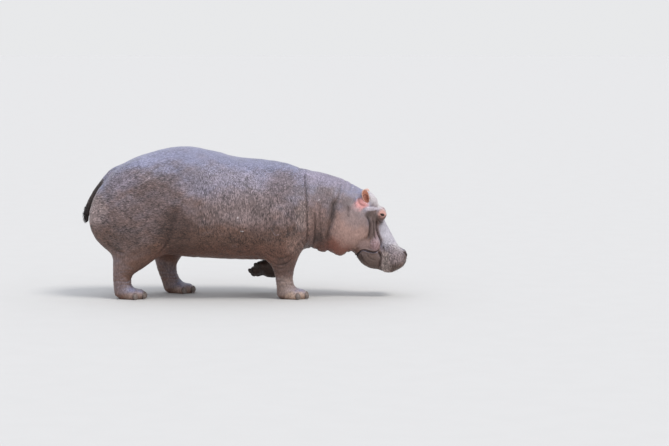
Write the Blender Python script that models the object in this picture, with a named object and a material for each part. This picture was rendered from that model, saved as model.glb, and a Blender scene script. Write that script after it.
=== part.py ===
"""A walking hippopotamus at life size: a still model in separate, named parts.

The animal is built whole and then parted. Its volumes (a lofted trunk, neck and head, tapered
limbs, and rounded masses for muscle, jowl, lip and toes) are laid over each other, wrapped in one
skin, and that skin is drawn over the places where they meet. Thin cuts then part it into trunk,
neck, head, jaw and legs, and the eyes, ears, nails and tail are fitted to it.

Frame: +X is the way it walks, +Y its left side, +Z up. Metres. The origin is on the floor, under
the middle of the animal. Its left forefoot is off the floor, in the middle of a step.
"""

import math

import bmesh
import bpy
import numpy as np
from mathutils import Matrix, Vector
from mathutils.bvhtree import BVHTree

# --- driving dimensions, in metres -------------------------------------------------------------

GAP = 0.0004  # clearance between neighbouring parts
TAIL_GAP = 0.0020  # between the tail and the sharper folds of the cleft it lies in
SOLE_PRESS = 0.004  # what is lower than this is pressed flat on the floor
VOXEL = 0.018  # grid on which the volumes are wrapped in one skin
BODY_TRIANGLES = 4080  # what the wrapped skin is thinned to

RIGHT, LEFT = -1, 1  # the animal's right side is at -Y and its left side at +Y
SIDES = {"right": RIGHT, "left": LEFT}

# Cross-sections of trunk, neck and head, from rump to nose. Each stands on the line from a point
# of the back to a point of the belly, and is made of two half super-ellipses.
# name: (back x, z, belly x, z, half width, share of the height at which it is widest,
#        roundness above and below: 2 is an ellipse, more is boxier, less is more pointed)
SECTIONS = {
    "tail root": (-1.500, 1.262, -1.450, 0.650, 0.290, 0.46, 2.0, 2.1),
    "hips": (-1.395, 1.380, -1.370, 0.570, 0.372, 0.46, 1.9, 2.1),
    "croup": (-1.220, 1.490, -1.200, 0.510, 0.440, 0.44, 1.9, 2.1),
    "loin": (-0.960, 1.580, -0.96, 0.465, 0.480, 0.42, 1.9, 2.2),
    "high point of the back": (-0.66, 1.630, -0.66, 0.430, 0.520, 0.40, 2.0, 2.2),
    "flank": (-0.36, 1.582, -0.36, 0.412, 0.535, 0.41, 2.1, 2.2),
    "ribs": (-0.08, 1.510, -0.08, 0.402, 0.530, 0.42, 2.1, 2.2),
    "girth": (0.20, 1.482, 0.20, 0.400, 0.500, 0.44, 2.0, 2.2),
    "withers": (0.44, 1.445, 0.44, 0.430, 0.465, 0.46, 1.9, 2.1),
    "neck base": (0.65, 1.378, 0.66, 0.512, 0.400, 0.47, 1.9, 2.1),
    "neck": (0.85, 1.340, 0.77, 0.532, 0.345, 0.46, 1.9, 2.1),
    "nape": (1.05, 1.277, 0.875, 0.500, 0.310, 0.44, 1.9, 2.2),
    "poll": (1.225, 1.180, 0.995, 0.485, 0.290, 0.40, 1.8, 2.3),
    "forehead": (1.365, 1.090, 1.085, 0.518, 0.262, 0.36, 1.8, 2.4),
    "eyes": (1.440, 0.960, 1.150, 0.495, 0.220, 0.36, 1.7, 2.5),
    "bridge": (1.506, 0.838, 1.212, 0.442, 0.180, 0.38, 1.8, 2.5),
    "mid muzzle": (1.568, 0.718, 1.285, 0.380, 0.165, 0.42, 1.9, 2.5),
    "lips": (1.631, 0.598, 1.390, 0.312, 0.185, 0.46, 2.1, 2.5),
    "snout": (1.686, 0.500, 1.497, 0.268, 0.205, 0.48, 2.2, 2.5),
}
RUMP_DEPTH = 0.072  # how far the rounded rump stands behind the tail root section
NOSE_DEPTH = 0.092  # how far the rounded nose stands before the snout section

# Rounded masses laid on that body, each a ball on both sides of the animal.
# name: (centre x, distance from the middle, z, radii along, across and up, pitch, blend)
MASSES = {
    "buttock": (-1.330, 0.200, 0.880, 0.350, 0.195, 0.400, 6, 0.12),
    "hip bone": (-1.080, 0.240, 1.260, 0.260, 0.140, 0.170, 12, 0.20),
    "shoulder blade": (0.390, 0.290, 0.860, 0.240, 0.170, 0.360, -6, 0.20),
    "dewlap": (0.815, 0.050, 0.540, 0.046, 0.110, 0.066, -22, 0.05),
    "jowl": (1.008, 0.095, 0.545, 0.082, 0.130, 0.108, -30, 0.05),
    "cheek": (1.160, 0.165, 0.760, 0.215, 0.130, 0.240, 20, 0.10),
    "crown": (1.330, 0.095, 1.030, 0.120, 0.080, 0.090, 40, 0.08),
    "eye socket": (1.466, 0.120, 0.893, 0.068, 0.060, 0.070, 50, 0.065),
    "lip corner": (1.395, 0.160, 0.560, 0.062, 0.055, 0.085, 20, 0.040),
    "lower lip": (1.345, 0.090, 0.420, 0.145, 0.108, 0.098, 30, 0.050),
    "upper lip": (1.590, 0.124, 0.402, 0.118, 0.112, 0.132, 42, 0.050),
    "nose side": (1.655, 0.085, 0.405, 0.090, 0.085, 0.100, 42, 0.050),
    "nostril": (1.698, 0.078, 0.452, 0.046, 0.040, 0.046, 42, 0.040),
}

# Limbs, as the line that their middle follows and their radii.
# (x, distance from the middle, z, fore-and-aft radius, side-to-side radius)
FORELEG_STANDING = (
    (0.395, 0.285, 0.930, 0.175, 0.115),
    (0.400, 0.310, 0.640, 0.178, 0.125),
    (0.424, 0.292, 0.430, 0.148, 0.118),
    (0.424, 0.272, 0.260, 0.104, 0.100),
    (0.436, 0.265, 0.140, 0.094, 0.098),
    (0.455, 0.265, 0.060, 0.112, 0.118),
)
FORELEG_LIFTED = (
    (0.395, 0.285, 0.930, 0.175, 0.115),
    (0.400, 0.310, 0.660, 0.176, 0.125),
    (0.420, 0.300, 0.480, 0.138, 0.112),
    (0.390, 0.292, 0.325, 0.108, 0.100),
    (0.320, 0.290, 0.255, 0.096, 0.098),
    (0.240, 0.290, 0.262, 0.098, 0.110),
)
HIND_LEG_BACK = (
    (-1.150, 0.250, 0.950, 0.280, 0.155),
    (-1.070, 0.300, 0.690, 0.265, 0.165),
    (-1.200, 0.305, 0.470, 0.200, 0.130),
    (-1.305, 0.288, 0.300, 0.124, 0.098),
    (-1.315, 0.280, 0.170, 0.096, 0.092),
    (-1.295, 0.278, 0.070, 0.108, 0.112),
)
HIND_LEG_FORWARD = (
    (-1.060, 0.250, 0.950, 0.280, 0.155),
    (-0.880, 0.300, 0.690, 0.235, 0.160),
    (-0.865, 0.305, 0.470, 0.178, 0.128),
    (-0.880, 0.292, 0.300, 0.118, 0.098),
    (-0.845, 0.285, 0.170, 0.096, 0.092),
    (-0.805, 0.283, 0.070, 0.108, 0.112),
)
LIMB_BLEND = 0.15

# A foot, in its own frame: toes along +X, the sole at z = 0, the leg coming down on the origin.
PAD = (0.020, 0.052, 0.118, 0.112, 0.075)  # centre x and z, then the three radii
TOE_ANGLES = (-50, -17, 17, 50)
TOE_REACH = (0.112, 0.148, 0.148, 0.112)  # from the origin to the middle of each toe
TOE_RADII = (0.072, 0.046, 0.056)
TOE_DROP = 14  # degrees that a toe slopes down to its nail
TOE_BLEND = 0.030
NAIL_RADII = (0.024, 0.031, 0.035)
NAIL_HEIGHT = 0.036
NAIL_REACH = 0.062  # from the middle of the toe to the middle of the nail

# The feet: (origin, pitch and roll in degrees). The lifted foot hangs with its sole to the rear.
FEET = {
    "foreleg_right": ((0.468, -0.265, 0.0), 0, 0),
    "foreleg_left": ((0.222, 0.290, 0.345), 152, 24),
    "hindleg_right": ((-1.275, -0.278, 0.0), 0, 0),
    "hindleg_left": ((-0.785, 0.283, 0.0), 0, 0),
}
LEGS = {
    "foreleg_right": (FORELEG_STANDING, RIGHT),
    "foreleg_left": (FORELEG_LIFTED, LEFT),
    "hindleg_right": (HIND_LEG_BACK, RIGHT),
    "hindleg_left": (HIND_LEG_FORWARD, LEFT),
}

# The tail hangs in the cleft of the rump: (x, y, z, fore-and-aft radius, side-to-side radius)
TAIL = (
    (-1.350, 0.0, 1.372, 0.056, 0.088),
    (-1.405, 0.0, 1.344, 0.060, 0.082),
    (-1.460, 0.0, 1.301, 0.058, 0.072),
    (-1.538, 0.0, 1.212, 0.055, 0.062),
    (-1.613, 0.0, 1.122, 0.048, 0.052),
    (-1.681, 0.0, 0.999, 0.046, 0.044),
    (-1.722, 0.0, 0.885, 0.044, 0.036),
    (-1.714, 0.0, 0.800, 0.034, 0.022),
)

EYE_RADIUS = 0.0245
EYE_CENTRE = (1.480, 0.158, 0.893)
EAR_ROOT = (1.312, 0.150, 1.040)
EAR_RADII = (0.030, 0.044, 0.080)  # through the ear, across it and along it
EAR_TURN = {  # lean out, lean back, and turn of the cup to the side, in degrees
    "right": (14, 6, 62),
    "left": (38, -8, 48),
}

# Where the parts meet, as lines in the side view that run right through the animal.
NECK_CUT = ((0.590, 1.60), (0.615, 1.38), (0.660, 0.95), (0.690, 0.55), (0.700, 0.25))
HEAD_CUT = ((1.240, 1.45), (1.170, 1.22), (1.030, 0.86), (0.925, 0.56), (0.860, 0.25))
MOUTH_CUT = (
    (1.140, 0.360),
    (1.172, 0.455),
    (1.214, 0.520),
    (1.280, 0.548),
    (1.335, 0.525),
    (1.396, 0.503),
    (1.434, 0.470),
    (1.446, 0.405),
    (1.473, 0.320),
    (1.510, 0.180),
)
PARTS = {  # about the middle of each part, by which the parted pieces are told apart
    "trunk": (-0.40, 0.0, 1.00),
    "neck": (0.90, 0.0, 0.90),
    "head": (1.35, 0.0, 0.70),
    "lower_jaw": (1.36, 0.0, 0.38),
}
# Side-view outlines that take each leg out of the body, from LEG_SPLIT outwards. Each runs from
# the back of the foot over the top of the leg to the front of the foot.
LEG_SPLIT = 0.09
LEG_CUTS = {
    "foreleg_right": (
        (0.210, -0.10),
        (0.210, 0.36),
        (0.225, 0.52),
        (0.290, 0.64),
        (0.400, 0.69),
        (0.520, 0.66),
        (0.610, 0.56),
        (0.660, 0.42),
        (0.780, -0.10),
    ),
    "foreleg_left": (
        (-0.100, 0.05),
        (-0.100, 0.385),
        (0.195, 0.390),
        (0.225, 0.52),
        (0.290, 0.64),
        (0.400, 0.69),
        (0.520, 0.66),
        (0.610, 0.56),
        (0.660, 0.42),
        (0.660, 0.05),
    ),
    "hindleg_right": (
        (-1.600, -0.10),
        (-1.640, 0.46),
        (-1.560, 0.66),
        (-1.430, 0.78),
        (-1.260, 0.83),
        (-1.090, 0.79),
        (-0.960, 0.68),
        (-0.870, 0.53),
        (-0.820, 0.36),
        (-0.900, -0.10),
    ),
    "hindleg_left": (
        (-1.150, -0.10),
        (-1.250, 0.46),
        (-1.210, 0.62),
        (-1.130, 0.74),
        (-0.990, 0.80),
        (-0.840, 0.76),
        (-0.720, 0.66),
        (-0.640, 0.52),
        (-0.560, 0.34),
        (-0.420, -0.10),
    ),
}

SKIN = ("hide", (0.135, 0.105, 0.105, 1.0), 0.55, 0.0)
EAR_SKIN = ("ear_skin", (0.420, 0.190, 0.130, 1.0), 0.60, 0.0)
NAIL = ("nail", (0.160, 0.130, 0.115, 1.0), 0.50, 0.0)
EYEBALL = ("eye", (0.080, 0.035, 0.020, 1.0), 0.08, 0.0)


# --- shapes ------------------------------------------------------------------------------------


def smooth_rows(rows, count):
    """`count` rows on the smooth curve through the given ones, evenly spaced along it."""
    rows = np.array(rows, float)
    steps = np.linalg.norm(np.diff(rows[:, :3], axis=0), axis=1)
    at = np.concatenate([[0], np.cumsum(steps)])
    slopes = np.gradient(rows, at, axis=0)
    wanted = np.linspace(0, at[-1], count)
    i = np.clip(np.searchsorted(at, wanted, side="right") - 1, 0, len(at) - 2)
    width = (at[i + 1] - at[i])[:, None]
    t = ((wanted - at[i])[:, None]) / width
    return (
        rows[i] * (1 + 2 * t) * (1 - t) ** 2
        + rows[i + 1] * t * t * (3 - 2 * t)
        + slopes[i] * width * t * (1 - t) ** 2
        - slopes[i + 1] * width * t * t * (1 - t)
    )


def tube(rings):
    """Points and faces of a closed tube through rings of points, its ends filled."""
    count = len(rings[0])
    points = [p for ring in rings for p in ring]
    faces = [tuple(reversed(range(count)))]
    for start in range(0, len(points) - count, count):
        for i in range(count):
            j = (i + 1) % count
            faces.append((start + i, start + j, start + count + j, start + count + i))
    faces.append(tuple(range(len(points) - count, len(points))))
    return points, faces


def dome(steps):
    """(size, advance) of the rings that round off a tube's end."""
    angles = np.linspace(0, math.pi / 2, steps + 1)[1:]
    return [(max(math.cos(a), 0.02), math.sin(a)) for a in angles]


def section_ring(section, around=36):
    """One ring of the trunk, neck or head."""
    top_x, top_z, low_x, low_z, half_width, share, above, below = section
    top, low = Vector((top_x, 0, top_z)), Vector((low_x, 0, low_z))
    middle = low.lerp(top, share)
    ring = []
    for i in range(around):
        turn = 2 * math.pi * i / around
        side, rise = math.cos(turn), math.sin(turn)
        power = 2 / (above if rise > 0 else below)
        arm = (top if rise > 0 else low) - middle
        across = half_width * math.copysign(abs(side) ** power, side)
        ring.append(middle + arm * abs(rise) ** power + Vector((0, across, 0)))
    return ring


def shrunk(section, size, advance):
    """A section drawn in towards its middle and moved along the body by `advance`."""
    top, low = np.array(section[0:2]), np.array(section[2:4])
    middle = low + (top - low) * section[5]
    up = (top - low) / np.linalg.norm(top - low)
    onward = np.array([up[1], -up[0]]) * advance
    return np.concatenate(
        [
            middle + (top - middle) * size + onward,
            middle + (low - middle) * size + onward,
            [section[4] * size],
            section[5:],
        ]
    )


def axial_body():
    """Trunk, neck and head in one closed loft."""
    rows = smooth_rows(list(SECTIONS.values()), 60)
    rump = [shrunk(rows[0], s, -a * RUMP_DEPTH) for s, a in reversed(dome(7))]
    nose = [shrunk(rows[-1], s, a * NOSE_DEPTH) for s, a in dome(6)]
    return tube([section_ring(row) for row in (*rump, *rows, *nose)])


def limb(rows, side=1, spread=0.0, around=20):
    """A tapered limb with rounded ends, on one side of the animal, `spread` wider all round."""
    rows = np.array(rows, float) * (1, side, 1, 1, 1)
    rows = smooth_rows(rows, 2 * len(rows) + 2)
    tangents = np.gradient(rows[:, :3], axis=0)
    frames = [(*row, *tangent) for row, tangent in zip(rows, tangents)]
    rings = []

    def add(frame, size=1.0, advance=0.0):
        along = Vector(frame[5:]).normalized()
        across = Vector((0, 1, 0)) - along * along.y
        across.normalize()
        forward = across.cross(along)
        middle = Vector(frame[:3]) + along * advance
        deep, wide = (frame[3] + spread) * size, (frame[4] + spread) * size
        turns = [2 * math.pi * i / around for i in range(around)]
        rings.append(
            [middle + forward * deep * math.cos(a) + across * wide * math.sin(a) for a in turns]
        )

    for size, advance in reversed(dome(4)):
        add(frames[0], size, -advance * frames[0][4])
    for frame in frames:
        add(frame)
    for size, advance in dome(4):
        add(frames[-1], size, advance * (frames[-1][4] + spread) * 0.5)
    return tube(rings)


def ball(centre, radii, turn=None, segments=24, rings=14):
    """An ellipsoid."""
    bm = bmesh.new()
    bmesh.ops.create_uvsphere(bm, u_segments=segments, v_segments=rings, radius=1)
    matrix = Matrix.Translation(centre) @ (turn or Matrix()) @ Matrix.Diagonal((*radii, 1))
    bmesh.ops.transform(bm, matrix=matrix, verts=bm.verts)
    shape = [v.co.copy() for v in bm.verts], [tuple(v.index for v in f.verts) for f in bm.faces]
    bm.free()
    return shape


def turned(pitch=0, heading=0, roll=0):
    """A turn by heading about Z, pitch (nose down) about Y and roll about X, in degrees."""
    return (
        Matrix.Rotation(math.radians(heading), 4, "Z")
        @ Matrix.Rotation(math.radians(pitch), 4, "Y")
        @ Matrix.Rotation(math.radians(roll), 4, "X")
    )


def foot_frame(leg):
    """The matrix from a foot's own frame to the animal's."""
    origin, pitch, roll = FEET[leg]
    return Matrix.Translation(origin) @ turned(pitch, 0, roll)


def toe_frames(leg):
    """One frame for each toe: its origin in the middle of the toe, +X to the tip."""
    for angle, reach in zip(TOE_ANGLES, TOE_REACH):
        flat = turned(0, angle) @ Matrix.Translation((reach, 0, 0))
        yield foot_frame(leg) @ flat


def foot_shapes(leg):
    """The pad and the four toes of one foot."""
    x, z, *radii = PAD
    frame = foot_frame(leg)
    yield ball((0, 0, 0), radii, frame @ Matrix.Translation((x, 0, z)))
    for toe in toe_frames(leg):
        place = toe @ Matrix.Translation((0, 0, TOE_RADII[2] - 0.010)) @ turned(TOE_DROP)
        yield ball((0, 0, 0), TOE_RADII, place)


def nail_shape(toe, swell=0.0):
    """One nail, set in the tip of its toe."""
    place = toe @ Matrix.Translation((NAIL_REACH, 0, NAIL_HEIGHT)) @ turned(-18)
    radii = [r + swell for r in NAIL_RADII]
    return ball((0, 0, 0), radii, place, segments=8, rings=5)


# --- from shapes to Blender objects ------------------------------------------------------------


def make_object(name, shape):
    mesh = bpy.data.meshes.new(name)
    mesh.from_pydata(shape[0], [], shape[1])
    mesh.update()
    obj = bpy.data.objects.new(name, mesh)
    bpy.context.scene.collection.objects.link(obj)
    return obj


def joined(shapes):
    """Several closed shapes as one list of points and faces."""
    points, faces = [], []
    for more_points, more_faces in shapes:
        start = len(points)
        points += more_points
        faces += [tuple(i + start for i in face) for face in more_faces]
    return points, faces


def apply_modifiers(obj):
    """Replaces an object's mesh with what its modifiers make of it."""
    bpy.context.view_layer.update()
    graph = bpy.context.evaluated_depsgraph_get()
    made = bpy.data.meshes.new_from_object(obj.evaluated_get(graph))
    obj.modifiers.clear()
    obj.data = made
    return obj


def boolean(obj, cutter, operation="DIFFERENCE"):
    """Cuts or keeps what `cutter` covers, and removes the cutter."""
    modifier = obj.modifiers.new(operation, "BOOLEAN")
    modifier.operation = operation
    modifier.solver = "EXACT"
    modifier.object = cutter
    apply_modifiers(obj)
    bpy.data.objects.remove(cutter)
    return obj


def positions(mesh):
    found = np.empty(len(mesh.vertices) * 3)
    mesh.vertices.foreach_get("co", found)
    return found.reshape(-1, 3)


def normals(mesh):
    found = np.empty(len(mesh.vertices) * 3)
    mesh.vertex_normals.foreach_get("vector", found)
    return found.reshape(-1, 3)


def set_positions(mesh, points):
    mesh.vertices.foreach_set("co", points.ravel())
    mesh.update()


# --- one skin over all the volumes ------------------------------------------------------------


def tidied(shape):
    """A bent tube as a clean closed shape, without the folds inside its bends."""
    obj = make_object("volume", shape)
    wrap(obj, VOXEL)
    corners = [v.co.copy() for v in obj.data.vertices]
    faces = [tuple(face.vertices) for face in obj.data.polygons]
    bpy.data.objects.remove(obj)
    return corners, faces


def volumes():
    """Every volume of the body with its blend: how widely the skin bridges the place where it
    meets what comes before it."""
    yield axial_body(), 0.02
    for x, y, z, along, across, up, pitch, blend in MASSES.values():
        for side in SIDES.values():
            yield ball((x, side * y, z), (along, across, up), turned(pitch)), blend
    for leg, (rows, side) in LEGS.items():
        yield tidied(limb(rows, side)), LIMB_BLEND
        for shape in foot_shapes(leg):
            yield shape, TOE_BLEND


def signed_distance(tree, points):
    """How far each point is outside a closed shape. It is negative inside."""
    found = np.empty(len(points))
    for i, point in enumerate(points):
        place, normal, _, distance = tree.find_nearest(point)
        outside = (Vector(point) - place).dot(normal) > 0
        found[i] = distance if outside else -distance
    return found


def height_over_skin(points, masses):
    """How far each point is outside the blended skin, from the distances to all volumes."""
    height = np.full(len(points), 9.0)
    for low, high, tree, blend in masses:
        reach = blend + VOXEL
        near = ((points > low - reach) & (points < high + reach)).all(axis=1)
        own = signed_distance(tree, points[near])
        before = height[near]
        shared = np.maximum(blend - np.abs(before - own), 0) / blend
        height[near] = np.minimum(before, own) - shared * shared * blend / 4
    return height


def wrap(obj, voxel):
    """Wraps all that an object's mesh covers in one even, closed skin."""
    remesh = obj.modifiers.new("Wrap", "REMESH")
    remesh.mode, remesh.voxel_size = "VOXEL", voxel
    apply_modifiers(obj)


def relax(obj, iterations):
    """Evens out a mesh."""
    smooth = obj.modifiers.new("Relax", "SMOOTH")
    smooth.factor, smooth.iterations = 0.5, iterations
    apply_modifiers(obj)


def wrapped_body():
    """The whole body as one closed, blended mesh."""
    shapes = list(volumes())
    body = make_object("body", joined([shape for shape, _ in shapes]))
    masses = []
    for (points, faces), blend in shapes:
        corners = np.array([tuple(p) for p in points])
        tree = BVHTree.FromPolygons(points, faces)
        masses.append((corners.min(axis=0), corners.max(axis=0), tree, blend))
    for _ in range(2):
        wrap(body, VOXEL)
        for evening in (3, 2, 1):
            points = positions(body.data)
            height = np.clip(height_over_skin(points, masses), -VOXEL, VOXEL)
            set_positions(body.data, points - normals(body.data) * height[:, None])
            relax(body, evening)
    return body


def thinned(body):
    """The same skin with fewer triangles, larger where it is smoother."""
    triangles = sum(len(face.vertices) - 2 for face in body.data.polygons)
    decimate = body.modifiers.new("Thin", "DECIMATE")
    decimate.ratio = BODY_TRIANGLES / triangles
    return apply_modifiers(body)


def pressed_flat(body):
    """Presses the soles flat on the floor."""
    points = positions(body.data)
    points[points[:, 2] < SOLE_PRESS, 2] = 0
    set_positions(body.data, points)
    return body


# --- parting ------------------------------------------------------------------------------------


def cutting_sheet(line, reach=0.8):
    """A thin sheet that stands on a line of the side view and runs through the animal."""
    rows = smooth_rows([(x, z, 0) for x, z in line], 2 * len(line))
    points = [Vector((x, y, z)) for x, z, _ in rows for y in (-reach, reach)]
    faces = [(i, i + 2, i + 3, i + 1) for i in range(0, len(points) - 2, 2)]
    sheet = make_object("cut", (points, faces))
    solidify = sheet.modifiers.new("Thickness", "SOLIDIFY")
    solidify.thickness, solidify.offset = GAP, 0
    return apply_modifiers(sheet)


def leg_block(leg):
    """The closed block that takes one leg out of the body."""
    outline, side = LEG_CUTS[leg], LEGS[leg][1]
    near, far = side * LEG_SPLIT, side * 0.9
    rings = [[Vector((x, y, z)) for x, z in outline] for y in sorted((near, far))]
    return make_object("cut", tube(rings))


def swollen(obj, gap=GAP):
    """A copy of an object a gap larger all round, to cut what it meets."""
    mesh = obj.data.copy()
    set_positions(mesh, positions(mesh) + normals(mesh) * gap)
    copy = bpy.data.objects.new("swollen", mesh)
    bpy.context.scene.collection.objects.link(copy)
    return copy


def piece_shape(faces):
    """The points and faces of some faces of a bmesh, on their own."""
    places = {}
    for face in faces:
        for vert in face.verts:
            places.setdefault(vert, len(places))
    ordered = sorted(faces, key=lambda face: face.index)
    return [v.co.copy() for v in places], [tuple(places[v] for v in f.verts) for f in ordered]


def loose_pieces(obj):
    """Removes an object and returns the closed pieces of its mesh, the largest first."""
    bm = bmesh.new()
    bm.from_mesh(obj.data)
    bpy.data.objects.remove(obj)
    bm.faces.index_update()
    left, pieces = set(bm.faces), []
    for first in bm.faces:
        if first not in left:
            continue
        left.discard(first)
        reached, edge = [], [first]
        while edge:
            face = edge.pop()
            reached.append(face)
            around = {g for e in face.edges for g in e.link_faces if g in left}
            edge += sorted(around, key=lambda g: g.index)
            left -= around
        pieces.append(piece_shape(reached))
    bm.free()
    return sorted(pieces, key=lambda shape: -len(shape[1]))


def middle_of(shape):
    """The middle of a shape's points."""
    return sum(shape[0], Vector()) / len(shape[0])


def part_body(body):
    """Parts the body along its cuts and returns {name: object}."""
    parts = {}
    for leg in LEGS:
        whole = bpy.data.objects.new(leg, body.data.copy())
        bpy.context.scene.collection.objects.link(whole)
        block = leg_block(leg)
        room = swollen(block)
        boolean(whole, block, "INTERSECT")
        parts[leg] = make_object(leg, loose_pieces(whole)[0])
        boolean(body, room)
    for line in (NECK_CUT, HEAD_CUT, MOUTH_CUT):
        boolean(body, cutting_sheet(line))
    pieces = loose_pieces(body)
    for name, place in PARTS.items():
        nearest = min(pieces, key=lambda shape: (middle_of(shape) - Vector(place)).length)
        parts[name] = make_object(name, nearest)
    return parts


# --- what is fitted to the body -----------------------------------------------------------------


def make_ear(side_name):
    """A small round cup of an ear, open to the side and front."""
    side = SIDES[side_name]
    lean_out, lean_back, cup = EAR_TURN[side_name]
    x, y, z = EAR_ROOT
    place = (
        Matrix.Translation((x, side * y, z))
        @ Matrix.Rotation(math.radians(-side * lean_out), 4, "X")
        @ Matrix.Rotation(math.radians(-lean_back), 4, "Y")
        @ Matrix.Rotation(math.radians(side * cup), 4, "Z")
    )
    through, across, along = EAR_RADII
    ear_place = place @ Matrix.Translation((0, 0, along * 0.75))
    ear = make_object(f"ear_{side_name}", ball((0, 0, 0), EAR_RADII, ear_place, 14, 8))
    hollow_place = place @ Matrix.Translation((through * 1.05, 0, along * 0.86))
    hollow_radii = (through * 1.25, across * 0.74, along * 0.66)
    return boolean(ear, make_object("cut", ball((0, 0, 0), hollow_radii, hollow_place, 12, 7)))


def eye_shape(side, swell=0.0):
    x, y, z = EYE_CENTRE
    return ball((x, side * y, z), [EYE_RADIUS + swell] * 3, segments=12, rings=8)


def paint(obj, finish):
    """Gives an object its material, and round shading."""
    name, colour, roughness, metallic = finish
    material = bpy.data.materials.get(name) or bpy.data.materials.new(name)
    material.use_nodes = True
    shader = material.node_tree.nodes["Principled BSDF"]
    shader.inputs["Base Color"].default_value = colour
    shader.inputs["Roughness"].default_value = roughness
    shader.inputs["Metallic"].default_value = metallic
    obj.data.materials.clear()
    obj.data.materials.append(material)
    obj.data.shade_smooth()
    obj.data.set_sharp_from_angle(angle=math.radians(50))


def centre_on_origin(objects):
    """Moves all parts so that the origin is on the floor, under the middle of the animal."""
    corners = np.concatenate([positions(obj.data) for obj in objects])
    middle = (corners.min(axis=0) + corners.max(axis=0)) / 2
    for obj in objects:
        obj.data.transform(Matrix.Translation((-middle[0], -middle[1], 0)))


def main():
    for obj in list(bpy.data.objects):
        bpy.data.objects.remove(obj)

    body = pressed_flat(thinned(pressed_flat(wrapped_body())))
    tail = make_object("tail", limb(TAIL, around=10))
    boolean(tail, swollen(body, TAIL_GAP))
    ears = {f"ear_{name}": make_ear(name) for name in SIDES}
    for ear in ears.values():
        boolean(ear, swollen(body))
    eyes = {}
    for side_name, side in SIDES.items():
        name = f"eye_{side_name}"
        eyes[name] = make_object(name, eye_shape(side))
        boolean(body, make_object("cut", eye_shape(side, GAP)))
    nails = {}
    for leg in LEGS:
        for number, toe in enumerate(toe_frames(leg), 1):
            name = f"nail_{leg}_{number}"
            nails[name] = make_object(name, nail_shape(toe))
            boolean(body, make_object("cut", nail_shape(toe, GAP)))
    parts = part_body(body)

    for group, finish in ((parts, SKIN), (ears, EAR_SKIN), (eyes, EYEBALL), (nails, NAIL)):
        for obj in group.values():
            paint(obj, finish)
    paint(tail, SKIN)
    centre_on_origin([*parts.values(), *ears.values(), *eyes.values(), *nails.values(), tail])


main()
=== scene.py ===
"""A walking hippopotamus at life size, as a museum model.

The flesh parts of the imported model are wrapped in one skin, which is refined where the detail is
finest and then sculpted: lids, nostrils, lips, folds and wrinkles. Its colours come from named
patches and from procedural nodes. The eyes, nails and bristles are separate pieces.

Frame: +X is the way the animal walks, +Y its left side, +Z up, in metres.
"""

import math
import bpy
import numpy as np
from mathutils import Matrix, Vector
from mathutils.bvhtree import BVHTree


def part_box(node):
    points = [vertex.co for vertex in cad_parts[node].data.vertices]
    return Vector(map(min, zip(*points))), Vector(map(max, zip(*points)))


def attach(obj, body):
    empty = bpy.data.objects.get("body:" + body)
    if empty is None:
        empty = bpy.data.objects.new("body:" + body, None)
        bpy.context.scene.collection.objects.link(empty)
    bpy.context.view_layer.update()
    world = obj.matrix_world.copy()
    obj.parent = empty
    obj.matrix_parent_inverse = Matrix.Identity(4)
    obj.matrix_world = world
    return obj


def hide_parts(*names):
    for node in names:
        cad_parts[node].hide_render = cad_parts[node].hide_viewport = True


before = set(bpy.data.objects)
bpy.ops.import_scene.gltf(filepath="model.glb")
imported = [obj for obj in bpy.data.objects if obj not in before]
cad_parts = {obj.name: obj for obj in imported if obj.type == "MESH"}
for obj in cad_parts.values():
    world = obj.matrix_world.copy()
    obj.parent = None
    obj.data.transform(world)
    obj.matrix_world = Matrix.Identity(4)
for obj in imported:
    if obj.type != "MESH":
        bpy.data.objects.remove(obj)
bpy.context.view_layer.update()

RIGHT, LEFT = -1, 1
BOTH = (RIGHT, LEFT)

# --- sizes --------------------------------------------------------------------------------------

VOXEL = 0.0095  # grid on which the parts are wrapped in one skin
OVERLAP = 0.0006  # how far parts are swollen first, so that the gaps between them close
NAIL_PLUG = 0.80  # size of the nail that the skin closes over, so that the real one stands proud
PLAIN_EDGE = 0.05  # how long an edge of the skin may be where there is no fine detail
SOLE_HEIGHT = 0.004  # points below this belong to the soles
FLOOR_TOUCH = 0.0005  # points up to this height rest on the floor
# Shade is painted into creases, darkest in one at least so deep and at most so wide
FULL_SHADE_DEPTH, FULL_SHADE_WIDTH = 0.012, 0.014  # a crease at least so deep and at most so wide is darkest
WAVES = 10  # how many waves make the hide's unevenness

# Where edges are shorter, on both sides: (centre x, distance from the middle, z, radius, edge)
FINE = (
    (1.485, 0.158, 0.893, 0.110, 0.0062),
    (1.485, 0.158, 0.893, 0.062, 0.0034),
    (1.487, 0.170, 0.893, 0.036, 0.0019),
    (1.305, 0.150, 1.060, 0.120, 0.0060),
    (1.605, 0.100, 0.420, 0.230, 0.0068),
    (1.733, 0.095, 0.440, 0.055, 0.0034),
    (1.405, 0.150, 0.560, 0.190, 0.0068),
    (1.365, 0.100, 0.380, 0.170, 0.0075),
    (1.335, 0.200, 0.780, 0.200, 0.0080),
    (0.525, 0.265, 0.050, 0.170, 0.0070),
    (-1.215, 0.278, 0.050, 0.170, 0.0070),
    (-0.725, 0.283, 0.050, 0.170, 0.0070),
    (0.205, 0.290, 0.260, 0.180, 0.0070),
)

# The eye: where it looks, the slant of its slit, and the half angles of the opening
GAZE = (0.26, 0.96, 0.03)
SLIT_SLANT = -20
SLIT_HALF_WIDTH = 78
UPPER_LID, LOWER_LID = 38, 33
SLIT_POWER = 1.75  # 2 would make the opening an ellipse, and less makes its corners sharper
LID_THICKNESS = 0.0050
SOCKET_RADIUS = 0.075  # how far round the eye the skin is shaped


# --- meshes as arrays ---------------------------------------------------------------------------


def positions(mesh):
    found = np.empty(len(mesh.vertices) * 3)
    mesh.vertices.foreach_get("co", found)
    return found.reshape(-1, 3)


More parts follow.
